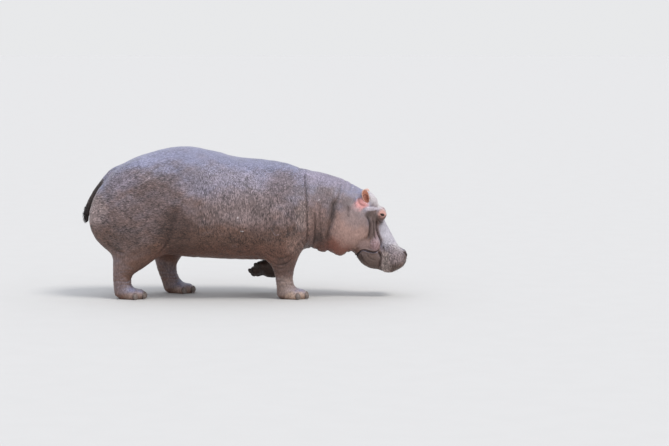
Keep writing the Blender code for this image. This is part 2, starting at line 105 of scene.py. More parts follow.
def triangles(mesh):
    """A mesh's faces as triangles."""
    mesh.calc_loop_triangles()
    found = np.empty(len(mesh.loop_triangles) * 3, np.int32)
    mesh.loop_triangles.foreach_get("vertices", found)
    return found.reshape(-1, 3).astype(np.int64)


def make_mesh(name, points, faces):
    """A mesh from arrays of points and of triangles or quads."""
    mesh = bpy.data.meshes.new(name)
    corners = faces.shape[1]
    mesh.vertices.add(len(points))
    mesh.vertices.foreach_set("co", np.ascontiguousarray(points, np.float32).ravel())
    mesh.loops.add(faces.size)
    mesh.loops.foreach_set("vertex_index", faces.astype(np.int32).ravel())
    mesh.polygons.add(len(faces))
    mesh.polygons.foreach_set("loop_start", np.arange(0, faces.size, corners, dtype=np.int32))
    mesh.update(calc_edges=True)
    mesh.shade_smooth()
    return mesh


def make_object(name, data):
    """An object in the scene, with its mesh, camera or light."""
    obj = bpy.data.objects.new(name, data)
    bpy.context.scene.collection.objects.link(obj)
    return obj


def evaluated(obj):
    """An object's points and triangles with its modifiers applied. The object is removed."""
    mesh = obj.evaluated_get(bpy.context.evaluated_depsgraph_get()).to_mesh()
    points, faces = positions(mesh), triangles(mesh)
    bpy.data.objects.remove(obj)
    return points, faces


def put_together(shapes):
    """Several (points, faces) as one."""
    points, faces, start = [], [], 0
    for some_points, some_faces in shapes:
        points.append(some_points)
        faces.append(some_faces + start)
        start += len(some_points)
    return np.concatenate(points), np.concatenate(faces)


def unit(vectors):
    """Vectors at length 1."""
    return vectors / np.linalg.norm(vectors, axis=-1, keepdims=True).clip(1e-15)


def normals_of(points, faces):
    """The skin's way out at each point, as unit vectors."""
    a, b, c = points[faces[:, 0]], points[faces[:, 1]], points[faces[:, 2]]
    across = np.cross(b - a, c - a)
    total = np.zeros_like(points)
    for corner in range(3):
        for axis in range(3):
            total[:, axis] += np.bincount(faces[:, corner], across[:, axis], len(points))
    return unit(total)


def edges_of(faces):
    """Each edge once, as two vertex numbers, and the three edge numbers of each triangle."""
    pairs = np.sort(faces[:, [0, 1, 1, 2, 2, 0]].reshape(-1, 2), axis=1)
    keys = pairs[:, 0] * (faces.max() + 1) + pairs[:, 1]
    _, first, number = np.unique(keys, return_index=True, return_inverse=True)
    return pairs[first], number.reshape(-1, 3)


def smoothed(points, edges, share, rounds):
    """Moves each point by `share` of the way to the middle of its neighbours, `rounds` times."""
    share = np.broadcast_to(np.asarray(share, float), len(points))
    moving = share != 0
    one, other = edges[moving[edges[:, 0]] | moving[edges[:, 1]]].T

    def sums(at_one=None, at_other=None):
        """What each point's neighbours add up to, or how many there are."""
        return np.bincount(one, at_other, len(points)) + np.bincount(other, at_one, len(points))

    count = sums().clip(1)
    points = points.copy()
    for _ in range(rounds):
        for axis in range(3):
            value = points[:, axis]
            points[:, axis] = value + share * (sums(value[one], value[other]) / count - value)
    return points


def refined(points, faces, longest):
    """Splits each edge that is longer than `longest` gives for its middle."""
    edges, number = edges_of(faces)
    middle = points[edges].mean(axis=1)
    length = np.linalg.norm(points[edges[:, 0]] - points[edges[:, 1]], axis=1)
    split = length > longest(middle)
    new = len(points) + np.cumsum(split) - 1
    cut, at = split[number], new[number]
    cuts = cut.sum(axis=1)
    made = [faces[cuts == 0]]

    def add(*corners):
        made.append(np.stack(corners, axis=1))

    (a, b, c), (ab, bc, ca) = faces[cuts == 3].T, at[cuts == 3].T
    add(a, ab, ca)
    add(ab, b, bc)
    add(ca, bc, c)
    add(ab, bc, ca)
    for k in range(3):
        order = [k, (k + 1) % 3, (k + 2) % 3]
        some = (cuts == 1) & cut[:, k]
        a, b, c = faces[some][:, order].T
        ab = at[some, k]
        add(a, ab, c)
        add(ab, b, c)
        some = (cuts == 2) & ~cut[:, k]
        c, a, b = faces[some][:, order].T
        ab, bc = at[some][:, order[1:]].T
        add(ab, b, bc)
        add(a, ab, bc)
        add(a, bc, c)
    return np.concatenate([points, middle[split]]), np.concatenate(made)


def largest_piece(points, faces):
    """Only the largest of a mesh's loose pieces."""
    edges, _ = edges_of(faces)
    label = np.arange(len(points))
    while True:
        low = np.minimum(label[edges[:, 0]], label[edges[:, 1]])
        new = label.copy()
        np.minimum.at(new, edges[:, 0], low)
        np.minimum.at(new, edges[:, 1], low)
        new = new[new]
        if (new == label).all():
            break
        label = new
    keep = label == np.bincount(label).argmax()
    number = np.cumsum(keep) - 1
    return points[keep], number[faces[keep[faces[:, 0]]]]


def remeshed(points, faces, voxel):
    """A shape wrapped in one new, even mesh, without loose pieces."""
    obj = make_object("wrap", make_mesh("wrap", points, faces))
    remesh = obj.modifiers.new("Wrap", "REMESH")
    remesh.mode, remesh.voxel_size = "VOXEL", voxel
    return largest_piece(*evaluated(obj))


def grid_quads(rows, columns, closed=False):
    """The quads of a grid of points. A closed one joins each row's end to its start."""
    i, j = np.mgrid[0 : rows - 1, 0 : columns if closed else columns - 1].reshape(2, -1)
    k = (j + 1) % columns
    return np.array([i * columns + j, i * columns + k, (i + 1) * columns + k, (i + 1) * columns + j])


def cut_quads(corners):
    """Quads as triangles, cut from each one's first corner to its third."""
    return corners[[0, 1, 2, 0, 2, 3]].reshape(2, 3, -1).transpose(2, 0, 1).reshape(-1, 3)


def smoothstep(low, high, value):
    """0 up to `low`, 1 from `high` on and a soft rise between, or a fall where low > high."""
    t = np.clip((value - low) / (high - low), 0, 1)
    return t * t * (3 - 2 * t)


def hill(distance, width):
    """1 at no distance, falling off softly over about `width`."""
    return np.exp(-((distance / width) ** 2))


def smooth_line(guides, step):
    """Points about `step` apart on a smooth curve through the guide points."""
    guides = np.asarray(guides, float)
    lengths = np.linalg.norm(np.diff(guides, axis=0), axis=1)
    at = np.concatenate([[0], np.cumsum(lengths)])
    slopes = np.gradient(guides, at, axis=0)
    wanted = np.linspace(0, at[-1], max(int(at[-1] / step), 2) + 1)
    i = np.clip(np.searchsorted(at, wanted, side="right") - 1, 0, len(at) - 2)
    width = (at[i + 1] - at[i])[:, None]
    t = (wanted - at[i])[:, None] / width
    return (
        guides[i] * (1 + 2 * t) * (1 - t) ** 2
        + guides[i + 1] * t * t * (3 - 2 * t)
        + slopes[i] * width * t * (1 - t) ** 2
        - slopes[i + 1] * width * t * t * (1 - t)
    )


def waves(points, length, seed):
    """Soft, seeded unevenness between about -1 and 1 with bumps about `length` apart."""
    rng = np.random.default_rng(seed)
    total = np.zeros(len(points))
    for _ in range(WAVES):
        way = rng.normal(size=3)
        way /= np.linalg.norm(way)
        turn = 2 * math.pi / (length * rng.uniform(0.7, 1.5))
        total += np.sin(points @ way * turn + rng.uniform(0, 2 * math.pi))
    return total / math.sqrt(WAVES)


# --- the skin -----------------------------------------------------------------------------------

EYES = {side: f"eye_{name}" for side, name in ((RIGHT, "right"), (LEFT, "left"))}
EARS = {side: f"ear_{name}" for side, name in ((RIGHT, "right"), (LEFT, "left"))}
LEGS = ("foreleg_right", "foreleg_left", "hindleg_right", "hindleg_left")
NAILS = {leg: [f"nail_{leg}_{number}" for number in (1, 2, 3, 4)] for leg in LEGS}
ALL_NAILS = sum(NAILS.values(), [])
FLESH = ("trunk", "neck", "head", "lower_jaw", "tail", *LEGS)


def cad_shape(node):
    """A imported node's points and triangles."""
    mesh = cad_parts[node].data
    return positions(mesh), triangles(mesh)


def middle_of(node):
    low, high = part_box(node)
    return np.array((low + high) / 2)


def on_floor(points):
    """Which points rest on the floor."""
    return points[:, 2] <= FLOOR_TOUCH


EYE_RADIUS = (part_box("eye_right")[1].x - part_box("eye_right")[0].x) / 2


def wrapped_skin():
    """One closed skin over all the flesh, with the sockets of the eyes and nails closed."""
    shapes = []
    for node in FLESH:
        points, faces = cad_shape(node)
        shapes.append((points + normals_of(points, faces) * OVERLAP, faces))
    for node in EYES.values():
        shapes.append(cad_shape(node))
    for node in ALL_NAILS:
        points, faces = cad_shape(node)
        middle = points.mean(axis=0)
        shapes.append((middle + (points - middle) * NAIL_PLUG, faces))
    return remeshed(*put_together(shapes), VOXEL)


def folded(points):
    """Points with the right side of the animal laid on its left side."""
    return np.column_stack([points[:, 0], np.abs(points[:, 1]), points[:, 2]])


def headness(points):
    """1 on the head and 0 behind it."""
    along = (points[:, 0] - 1.05) * 0.88 - (points[:, 2] - 0.85) * 0.30
    return smoothstep(-0.16, 0.10, along)


def footness(points):
    """1 on the feet and 0 above the ankles."""
    low = 1 - smoothstep(0.14, 0.26, points[:, 2])
    lifted = 1 - smoothstep(0.15, 0.24, np.linalg.norm(points - (0.22, 0.29, 0.28), axis=1))
    return np.maximum(low, lifted)


def longest_edge(middle):
    """How long an edge of the skin may be at a place."""
    allowed = np.full(len(middle), PLAIN_EDGE)
    place = folded(middle)
    for x, y, z, radius, edge in FINE:
        near = np.linalg.norm(place - (x, y, z), axis=1) < radius
        allowed[near] = np.minimum(allowed[near], edge)
    return allowed


def smooth_skin(points, faces):
    """Takes the flat facets out of the skin and keeps the soles flat."""
    edges, _ = edges_of(faces)
    soles = points[:, 2] < SOLE_HEIGHT
    body = 1 - np.maximum(headness(points), footness(points))
    share = np.where(soles, 0.0, 0.5)
    points = smoothed(points, edges, share, 8)
    points = smoothed(points, edges, share * body, 44)
    points[soles, 2] = 0
    points[:, 2] = points[:, 2].clip(0)
    return points


def refine_skin(points, faces):
    """Splits the long edges in three rounds, and smooths what is new and what lies close by."""
    for _ in range(3):
        before = len(points)
        points, faces = refined(points, faces, longest_edge)
        edges, _ = edges_of(faces)
        fresh = np.where(on_floor(points) | (np.arange(len(points)) < before), 0.0, 0.5)
        points = smoothed(points, edges, fresh, 2)
        still = on_floor(points) | (longest_edge(points) >= PLAIN_EDGE)
        points = smoothed(points, edges, np.where(still, 0.0, 0.4), 2)
    return points, faces


class Sculpt:
    """The skin while it is worked on. `lift` is how far each point moves along its normal, and `crease`
    from 0 to 1 how deep it lies in a fold, which the material darkens with painted shade."""

    def __init__(self, points, faces):
        self.points, self.faces = points, faces
        self.normals = normals_of(points, faces)
        self.tree = BVHTree.FromPolygons(points.tolist(), faces.tolist())
        self.lift = np.zeros(len(points))
        self.crease = np.zeros(len(points))

    def seen_from(self, view, guide):
        """The place on the skin that a guide point of one of the views falls on."""
        first, second = guide
        start, way = {
            "right": ((first, -2, second), (0, 1, 0)),
            "left": ((first, 2, second), (0, -1, 0)),
            "top": ((first, second, 3), (0, 0, -1)),
            "below": ((first, second, -1), (0, 0, 1)),
            "front": ((3, first, second), (-1, 0, 0)),
        }[view]
        place = self.tree.ray_cast(Vector(start), Vector(way))[0]
        return place or self.tree.find_nearest(Vector(start) + Vector(way) * 2)[0]

    def nearest(self, place):
        """The closest place on the skin and the skin's way out there."""
        found, normal, _, _ = self.tree.find_nearest(Vector(place))
        return np.array(found), np.array(normal)

    def near_line(self, line, reach):
        """The points within reach of a line: their numbers, distance from it, place along it
        from 0 to 1, and which side of it they are on."""
        low, high = line.min(axis=0) - reach, line.max(axis=0) + reach
        inside = np.flatnonzero(((self.points > low) & (self.points < high)).all(axis=1))
        if not len(inside):
            return inside, np.zeros(0), np.zeros(0), np.zeros(0)
        best = np.full(len(inside), np.inf)
        where = np.zeros(len(inside), int)
        for i, place in enumerate(line):
            away = np.linalg.norm(self.points[inside] - place, axis=1)
            closer = away < best
            best[closer], where[closer] = away[closer], i
        keep = best < reach
        inside, best, where = inside[keep], best[keep], where[keep]
        beside = np.cross(self.normals[inside], np.gradient(line, axis=0)[where])
        side = np.sign((beside * (self.points[inside] - line[where])).sum(axis=1))
        return inside, best, where / max(len(line) - 1, 1), side

    def paint_shade(self, which, dark):
        self.crease[which] = np.maximum(self.crease[which], dark)

    def fold(self, view, guides, *sizes):
        """A crease along a line drawn in one view."""
        self.fold_along(np.array([self.seen_from(view, guide) for guide in guides]), *sizes)

    def fold_along(self, guides, width, depth, roll, overhang=0.0, fade=0.18, shade=1.0):
        """A crease with a roll of skin on both sides of it and an overhang on the left side of its way. It
        fades out over a share of its length. A negative depth makes a ridge. Shade is painted into the
        crease, darkest where it is deep and narrow."""
        near, away, along, side = self.near_line(smooth_line(guides, 0.005), width * 4.5)
        ends = smoothstep(0, fade, along) * smoothstep(0, fade, 1 - along) if fade else 1.0
        t = away / width
        shape = roll * hill(t - 1.9, 0.9) + overhang * hill(t * side - 1.5, 1.0) - depth * hill(t, 1.0)
        self.lift[near] += shape * ends
        # painted shade along the crease
        strength = min(max(depth, 0) / FULL_SHADE_DEPTH, 1) ** 0.8 * min(shade, FULL_SHADE_WIDTH / width)
        self.paint_shade(near, strength * hill(t, 0.9) * ends)

    def swell(self, centre, radii, height):
        """A soft bump on both sides, or a hollow where the height is negative."""
        for side in BOTH:
            away = (self.points - np.array(centre) * (1, side, 1)) / radii
            self.lift += height * np.exp(-(away**2).sum(axis=1))

    def settle(self):
        """Applies the moves so far."""
        floor = on_floor(self.points)
        self.points = self.points + self.normals * self.lift[:, None]
        self.points[floor, 2] = 0
        self.points[:, 2] = self.points[:, 2].clip(0)
        self.lift[:] = 0


def arch(side, middle, reach):
    """Guide points from the right side over the middle to the left one: their x, and how far the
    outer two are from the middle."""
    return (side, -reach), (middle, 0.0), (side, reach)


# Folds drawn in a view: (view, width, depth, roll, overhang, guide points). A side view gives x
# and z, one from the top or below x and y, and the front one y and z. "sides" is both sides.
HEAD_FOLDS = (
    # the mouth, from its corner round the pad and down behind the upper lip
    ("sides", 0.0085, 0.016, 0.004, 0.004, (1.205, 0.425), (1.222, 0.465), (1.245, 0.495), (1.272, 0.515),
     (1.300, 0.516), (1.330, 0.505), (1.366, 0.496), (1.409, 0.493), (1.441, 0.506), (1.466, 0.545)),
    ("sides", 0.011, 0.020, 0.003, -0.007, (1.437, 0.505), (1.461, 0.470), (1.471, 0.435), (1.466, 0.395),
     (1.460, 0.350), (1.457, 0.310)),
    # from the eye down the face to the mouth, and the folds behind it
    ("sides", 0.0125, 0.015, 0.003, 0.0, (1.428, 0.862), (1.427, 0.800), (1.429, 0.745), (1.442, 0.692),
     (1.462, 0.648), (1.476, 0.602), (1.474, 0.562), (1.455, 0.530)),
    ("sides", 0.0095, 0.010, 0.003, 0.0, (1.387, 0.872), (1.391, 0.815), (1.393, 0.760), (1.397, 0.700),
     (1.411, 0.650), (1.430, 0.610)),
    ("sides", 0.015, 0.012, 0.003, 0.003, (1.318, 0.900), (1.341, 0.858), (1.354, 0.800), (1.355, 0.740),
     (1.345, 0.680), (1.329, 0.625)),
    ("sides", 0.007, 0.005, 0.002, 0.0, (1.377, 0.640), (1.385, 0.600), (1.389, 0.560), (1.383, 0.525)),
    ("sides", 0.006, 0.004, 0.002, 0.0, (1.430, 0.600), (1.433, 0.570), (1.423, 0.535)),
    ("sides", 0.006, 0.003, 0.0015, 0.0, (1.350, 0.575), (1.377, 0.552), (1.407, 0.532)),
    ("sides", 0.006, 0.0030, 0.0015, 0.0, (1.350, 0.610), (1.385, 0.592), (1.425, 0.600)),
    ("sides", 0.005, 0.0030, 0.0015, 0.0, (1.362, 0.545), (1.395, 0.530), (1.432, 0.548)),
    ("sides", 0.005, 0.0030, 0.0015, 0.0, (1.402, 0.655), (1.410, 0.620), (1.404, 0.585)),
    # bags under the eye and the brow over it
    ("sides", 0.0050, 0.0045, 0.002, 0.0, (1.450, 0.862), (1.463, 0.846), (1.485, 0.838), (1.507, 0.846)),
    ("sides", 0.0075, 0.0070, 0.003, 0.0, (1.443, 0.842), (1.461, 0.815), (1.485, 0.802), (1.511, 0.812)),
    ("sides", 0.006, 0.0035, 0.002, 0.0, (1.455, 0.806), (1.473, 0.786), (1.497, 0.776)),
    ("sides", 0.0050, 0.0035, 0.002, 0.0, (1.439, 0.905), (1.451, 0.936), (1.475, 0.948), (1.503, 0.942)),
    # between the eyes and over the forehead
    ("top", 0.010, 0.0030, 0.0015, 0.0, *arch(1.462, 1.474, 0.060)),
    ("top", 0.012, 0.0035, 0.0015, 0.0, *arch(1.420, 1.436, 0.085)),
    ("top", 0.012, 0.0025, 0.0010, 0.0, *arch(1.378, 1.394, 0.095)),
    ("top", 0.009, 0.0020, 0.0010, 0.0, *arch(1.535, 1.540, 0.060)),
    ("top", 0.007, 0.0030, 0.0015, 0.0, (1.500, 0.080), (1.520, 0.112), (1.535, 0.118)),
    ("top", 0.007, 0.0030, 0.0015, 0.0, (1.500, -0.080), (1.520, -0.112), (1.535, -0.118)),
    # the arch from the ear to the eye
    ("sides", 0.022, -0.009, 0.0, 0.0, (1.305, 0.962), (1.355, 0.966), (1.405, 0.955), (1.437, 0.940)),
    # round the ear and behind the cheek
    ("sides", 0.012, 0.006, 0.002, 0.0, (1.235, 1.085), (1.240, 1.035), (1.267, 1.005), (1.315, 0.995)),
    ("sides", 0.010, 0.004, 0.002, 0.0, (1.195, 1.090), (1.190, 1.030), (1.210, 0.975)),
    ("sides", 0.012, 0.006, 0.002, 0.0, (1.113, 1.010), (1.123, 0.965), (1.117, 0.920), (1.127, 0.870)),
    ("sides", 0.012, 0.006, 0.002, 0.0, (1.115, 0.540), (1.140, 0.500), (1.165, 0.470)),
    # creases of the upper lip
    ("sides", 0.008, 0.0030, 0.0015, 0.0, (1.497, 0.560), (1.505, 0.500), (1.503, 0.440), (1.497, 0.390)),
    ("sides", 0.008, 0.0022, 0.0010, 0.0, (1.535, 0.590), (1.550, 0.530), (1.553, 0.470), (1.545, 0.420)),
    ("sides", 0.008, 0.0018, 0.0008, 0.0, (1.590, 0.600), (1.605, 0.550), (1.611, 0.500)),
    # creases of the lower jaw
    ("sides", 0.010, 0.0045, 0.002, 0.0, (1.245, 0.480), (1.267, 0.430), (1.305, 0.385), (1.355, 0.350)),
    ("sides", 0.008, 0.0035, 0.0015, 0.0, (1.315, 0.480), (1.340, 0.440), (1.380, 0.415), (1.425, 0.400)),
    # across the chin, behind the upper lip
    ("below", 0.011, 0.016, 0.002, 0.0, (1.457, -0.185), (1.475, -0.130), (1.499, -0.065), (1.507, 0.0),
     (1.499, 0.065), (1.475, 0.130), (1.457, 0.185)),
    # the cleft of the nose
    ("front", 0.016, 0.007, 0.0, 0.0, (0.0, 0.540), (0.0, 0.470), (0.0, 0.400), (0.0, 0.330),
     (0.0, 0.280)),
)

BODY_FOLDS = (
    # in front of the shoulder, over the withers
    ("sides", 0.0105, 0.008, 0.002, 0.008, (0.603, 1.425), (0.622, 1.385), (0.653, 1.280), (0.673, 1.140),
     (0.679, 1.000), (0.683, 0.850), (0.685, 0.720), (0.669, 0.610), (0.627, 0.520)),
    ("top", 0.018, 0.004, 0.001, 0.0, *arch(0.605, 0.597, 0.170)),
    # the neck
    ("sides", 0.010, 0.008, 0.003, 0.003, (0.759, 0.980), (0.765, 0.900), (0.767, 0.810), (0.763, 0.720),
     (0.753, 0.630), (0.731, 0.550)),
    ("sides", 0.022, 0.014, 0.004, -0.003, (0.985, 1.090), (0.968, 1.020), (0.955, 0.930), (0.940, 0.840),
     (0.915, 0.750), (0.893, 0.660), (0.873, 0.580)),
    ("sides", 0.011, 0.0035, 0.002, 0.0, (0.821, 1.020), (0.817, 0.900), (0.825, 0.760), (0.817, 0.640)),
    ("sides", 0.014, 0.004, 0.002, 0.0, (1.045, 1.230), (1.027, 1.130), (1.005, 1.040)),
    ("top", 0.014, 0.004, 0.002, 0.0, *arch(1.065, 1.090, 0.200)),
    ("top", 0.013, 0.0035, 0.002, 0.0, *arch(1.135, 1.155, 0.170)),
    # the throat
    ("below", 0.014, 0.009, 0.004, 0.0, *arch(0.735, 0.717, 0.220)),
    ("below", 0.012, 0.006, 0.003, 0.0, *arch(0.795, 0.780, 0.170)),
    ("below", 0.016, 0.011, 0.004, 0.0, *arch(0.905, 0.900, 0.210)),
    ("below", 0.013, 0.006, 0.003, 0.0, *arch(0.975, 0.970, 0.180)),
    ("below", 0.016, 0.008, 0.004, 0.0, *arch(1.095, 1.105, 0.180)),
    # the armpit and the elbow
    ("right", 0.012, 0.0065, 0.003, 0.0, (0.215, 0.470), (0.290, 0.410), (0.375, 0.378), (0.465, 0.400),
     (0.550, 0.470)),
    ("right", 0.012, 0.0045, 0.002, 0.0, (0.195, 0.535), (0.285, 0.480), (0.385, 0.452), (0.485, 0.474),
     (0.590, 0.560)),
    ("right", 0.010, 0.004, 0.002, 0.0, (0.305, 0.360), (0.375, 0.335), (0.445, 0.345)),
    ("right", 0.010, 0.006, 0.003, 0.0, (0.600, 0.660), (0.635, 0.610), (0.653, 0.555)),
    ("right", 0.009, 0.005, 0.002, 0.0, (0.565, 0.620), (0.605, 0.575), (0.625, 0.525)),
    ("right", 0.009, 0.004, 0.002, 0.0, (0.535, 0.560), (0.575, 0.520), (0.595, 0.480)),
    ("left", 0.014, 0.009, 0.005, 0.0, (0.205, 0.560), (0.285, 0.500), (0.385, 0.470), (0.485, 0.490),
     (0.580, 0.560)),
    ("left", 0.011, 0.006, 0.003, 0.0, (0.260, 0.460), (0.335, 0.425), (0.425, 0.420), (0.505, 0.450)),
    ("left", 0.010, 0.006, 0.003, 0.0, (0.595, 0.650), (0.627, 0.600), (0.645, 0.545)),
    # the flank in front of each thigh, and the thigh's own folds
    ("right", 0.045, 0.013, 0.0, 0.0, (-0.695, 1.020), (-0.730, 0.900), (-0.755, 0.780), (-0.795, 0.660),
     (-0.855, 0.560)),
    ("right", 0.014, 0.006, 0.003, 0.0, (-0.785, 0.640), (-0.855, 0.545), (-0.925, 0.480)),
    ("left", 0.045, 0.013, 0.0, 0.0, (-0.435, 0.980), (-0.465, 0.860), (-0.500, 0.740), (-0.555, 0.620),
     (-0.625, 0.540)),
    ("left", 0.014, 0.006, 0.003, 0.0, (-0.535, 0.620), (-0.595, 0.530), (-0.675, 0.470)),
    ("right", 0.018, 0.006, 0.003, 0.0, (-1.465, 0.640), (-1.415, 0.560), (-1.335, 0.520),
     (-1.255, 0.500)),
    ("left", 0.018, 0.006, 0.003, 0.0, (-1.085, 0.640), (-1.035, 0.560), (-0.955, 0.510), (-0.875, 0.490)),
    # under the belly
    ("below", 0.020, 0.005, 0.002, 0.0, *arch(-0.555, -0.495, 0.280)),
    ("below", 0.018, 0.008, 0.004, 0.0, *arch(0.175, 0.155, 0.260)),
    ("below", 0.014, 0.006, 0.003, 0.0, *arch(0.275, 0.267, 0.200)),
)

# Rings of wrinkles round the legs: (x, y, z, depth)
LEG_RINGS = (
    (0.435, -0.265, 0.235, 0.0016),
    (0.441, -0.265, 0.190, 0.0024),
    (0.450, -0.265, 0.150, 0.0018),
    (0.430, -0.275, 0.290, 0.0014),
    (-1.307, -0.280, 0.240, 0.0018),
    (-1.305, -0.280, 0.195, 0.0026),
    (-1.295, -0.280, 0.152, 0.0018),
    (-1.295, -0.285, 0.300, 0.0016),
    (-0.850, 0.285, 0.240, 0.0018),
    (-0.840, 0.285, 0.195, 0.0026),
    (-0.830, 0.285, 0.152, 0.0018),
    (-0.870, 0.290, 0.300, 0.0016),
)

# Soft bumps and hollows on both sides: (centre, radii, height)
SWELLINGS = (
    ((1.410, 0.200, 0.560), (0.045, 0.05, 0.040), 0.003),  # the pad in the corner of the mouth
    ((1.350, 0.210, 0.880), (0.040, 0.06, 0.035), -0.010),  # the hollow of the temple
    ((1.390, 0.200, 0.740), (0.020, 0.06, 0.090), 0.004),  # the band between the face's folds
    ((1.505, 0.120, 0.965), (0.030, 0.03, 0.022), 0.004),  # the brow
    ((1.485, 0.165, 0.822), (0.022, 0.03, 0.012), 0.004),  # the bag under the eye
    ((1.245, 0.190, 1.000), (0.045, 0.05, 0.035), -0.005),  # behind and under the ear
    ((1.335, 0.170, 1.062), (0.024, 0.036, 0.040), -0.030),  # in the ear's cup
)


def sculpt_eye(sculpt, side):
    """Lids round an eye: inside the slit the skin draws back behind the ball, outside it the
    skin lies over the ball and runs out into the socket."""
    centre = middle_of(EYES[side])
    gaze, slit, up = eye_axes(side)
    near = np.flatnonzero(np.linalg.norm(sculpt.points - centre, axis=1) < SOCKET_RADIUS)
    offset = sculpt.points[near] - centre
    radius = np.linalg.norm(offset, axis=1)
    way = offset / radius[:, None]
    ahead = way @ gaze
    across = np.degrees(np.arctan2(way @ slit, ahead.clip(0.05)))
    rise = np.degrees(np.arctan2(way @ up, ahead.clip(0.05)))
    lid = np.where(rise > 0, UPPER_LID, LOWER_LID)
    reach = (np.abs(across) / SLIT_HALF_WIDTH) ** SLIT_POWER + (np.abs(rise) / lid) ** SLIT_POWER
    outside = (reach ** (1 / SLIT_POWER) - 1) * 38  # about the angle from the lid's edge
    behind, over = EYE_RADIUS - 0.0045, EYE_RADIUS + LID_THICKNESS
    wanted = behind + (over - behind) * smoothstep(-5, 4.5, outside)
    wanted += 0.0016 * hill(outside - 5, 3.5)  # the lid's edge
    wanted -= 0.0032 * hill(outside - 15, 4.5) * (outside > 0)  # the groove round the lids
    wanted += 0.0035 * hill(outside - 26, 11) * (rise < 0)  # the pouch below
    blend = smoothstep(14, 80, outside)
    wanted = wanted * (1 - blend) + np.maximum(radius, wanted) * blend
    bend = waves(sculpt.points[near], 0.030, 31)
    rings = np.sin(outside * 2 * math.pi / 9.0 + 1.8 * bend) * (0.6 + 0.4 * bend)
    wanted += 0.0009 * rings * smoothstep(18, 30, outside) * smoothstep(95, 60, outside)
    facing = smoothstep(0.02, 0.35, ahead)
    moved = radius + (wanted - radius) * facing
    sculpt.points[near] = centre + way * moved[:, None]
    # Painted shade in the groove round the lids and inside the slit
    groove = hill(outside - 14.5, 4.0) * 0.7
    sculpt.paint_shade(near, np.maximum(groove, smoothstep(1.5, -2.0, outside)) * facing)


def eye_axes(side):
    """An eye's way of looking, the line of its slit and its up, as unit vectors."""
    gaze = unit(np.array(GAZE) * (1, side, 1))
    turn = math.radians(SLIT_SLANT)
    slit = np.array([math.cos(turn), 0, math.sin(turn)])
    slit = unit(slit - gaze * (slit @ gaze))
    up = np.cross(slit, gaze)
    return gaze, slit, up * math.copysign(1, up[2])


def sculpt_nostril(sculpt, side):
    """A slit with a raised rim on top of the nose, open to the front and side."""
    slit = ((1.703, 0.122, 0.484), (1.727, 0.114, 0.468), (1.743, 0.104, 0.446), (1.752, 0.092, 0.418))
    line = np.array([sculpt.nearest((x, y * side, z))[0] for x, y, z in slit])
    sculpt.fold_along(line, 0.0105, 0.024, 0.0065, fade=0.28, shade=1.6)


def sculpt_leg_ring(sculpt, x, y, z, depth):
    """A wavy wrinkle round a leg, found by looking at the skin from all round."""
    ring = []
    for step in range(13):
        turn = 2 * math.pi * step / 12
        way = Vector((math.cos(turn), math.sin(turn), 0.10 * math.cos(turn)))
        start = Vector((x, y, z + 0.012 * math.sin(3 * turn + 40 * z))) + way * 0.25
        ring.append(sculpt.tree.ray_cast(start, -way)[0] or start - way * 0.15)
    sculpt.fold_along(np.array(ring), 0.009, depth, depth * 0.4, fade=0, shade=0.5)


def sculpt_whisker_root(sculpt, root):
    """A small dimple with painted shade in it."""
    near = np.flatnonzero(np.abs(sculpt.points - root).max(axis=1) < 0.02)
    away = np.linalg.norm(sculpt.points[near] - root, axis=1)
    sculpt.lift[near] -= 0.0012 * hill(away, 0.0065)
    sculpt.paint_shade(near, 0.35 * hill(away, 0.006))


def whisker_places(sculpt):
    """Where bristles stand on the muzzle: uneven rows on each side and in front."""
    rng = np.random.default_rng(11)

    def uneven(value):
        return value + rng.uniform(-0.014, 0.014)

    found = []
    for side in BOTH:
        for row in range(6):
            for step in range(7):
                guide = uneven(1.530 + 0.032 * row), uneven(0.300 + 0.032 * step + 0.016 * (row % 2))
                place = np.array(sculpt.seen_from("right" if side < 0 else "left", guide))
                if np.abs(place[1]) > 0.10:
                    found.append(place)
        for row in range(5):
            for step in range(4):
                guide = side * uneven(0.034 + 0.040 * step), uneven(0.290 + 0.034 * row)
                place = np.array(sculpt.seen_from("front", guide))
                if place[0] > 1.60:
                    found.append(place)
    return found


def sculpt_skin():
    """The skin of all the flesh with its folds, wrinkles, nostrils and lids, and where its
    whiskers stand."""
    points, faces = wrapped_skin()
    sculpt = Sculpt(*refine_skin(smooth_skin(points, faces), faces))
    for centre, radii, height in SWELLINGS:
        sculpt.swell(centre, radii, height)
    for view, width, depth, roll, overhang, *guides in (*HEAD_FOLDS, *BODY_FOLDS):
        for one in ("right", "left") if view == "sides" else (view,):
            # seen from the left a line runs the other way, so its overhang changes sides
            sculpt.fold(one, guides, width, depth, roll, -overhang if one == "left" else overhang)
    for ring in LEG_RINGS:
        sculpt_leg_ring(sculpt, *ring)
    for side in BOTH:
        sculpt_nostril(sculpt, side)
    whiskers = whisker_places(sculpt)
    for root in whiskers:
        sculpt_whisker_root(sculpt, root)
    add_wrinkles(sculpt)
    sculpt.settle()
    for side in BOTH:
        sculpt_eye(sculpt, side)
    edges, _ = edges_of(sculpt.faces)
    sculpt.points = smoothed(sculpt.points, edges, np.where(on_floor(sculpt.points), 0, 0.35), 1)
    return sculpt, whiskers


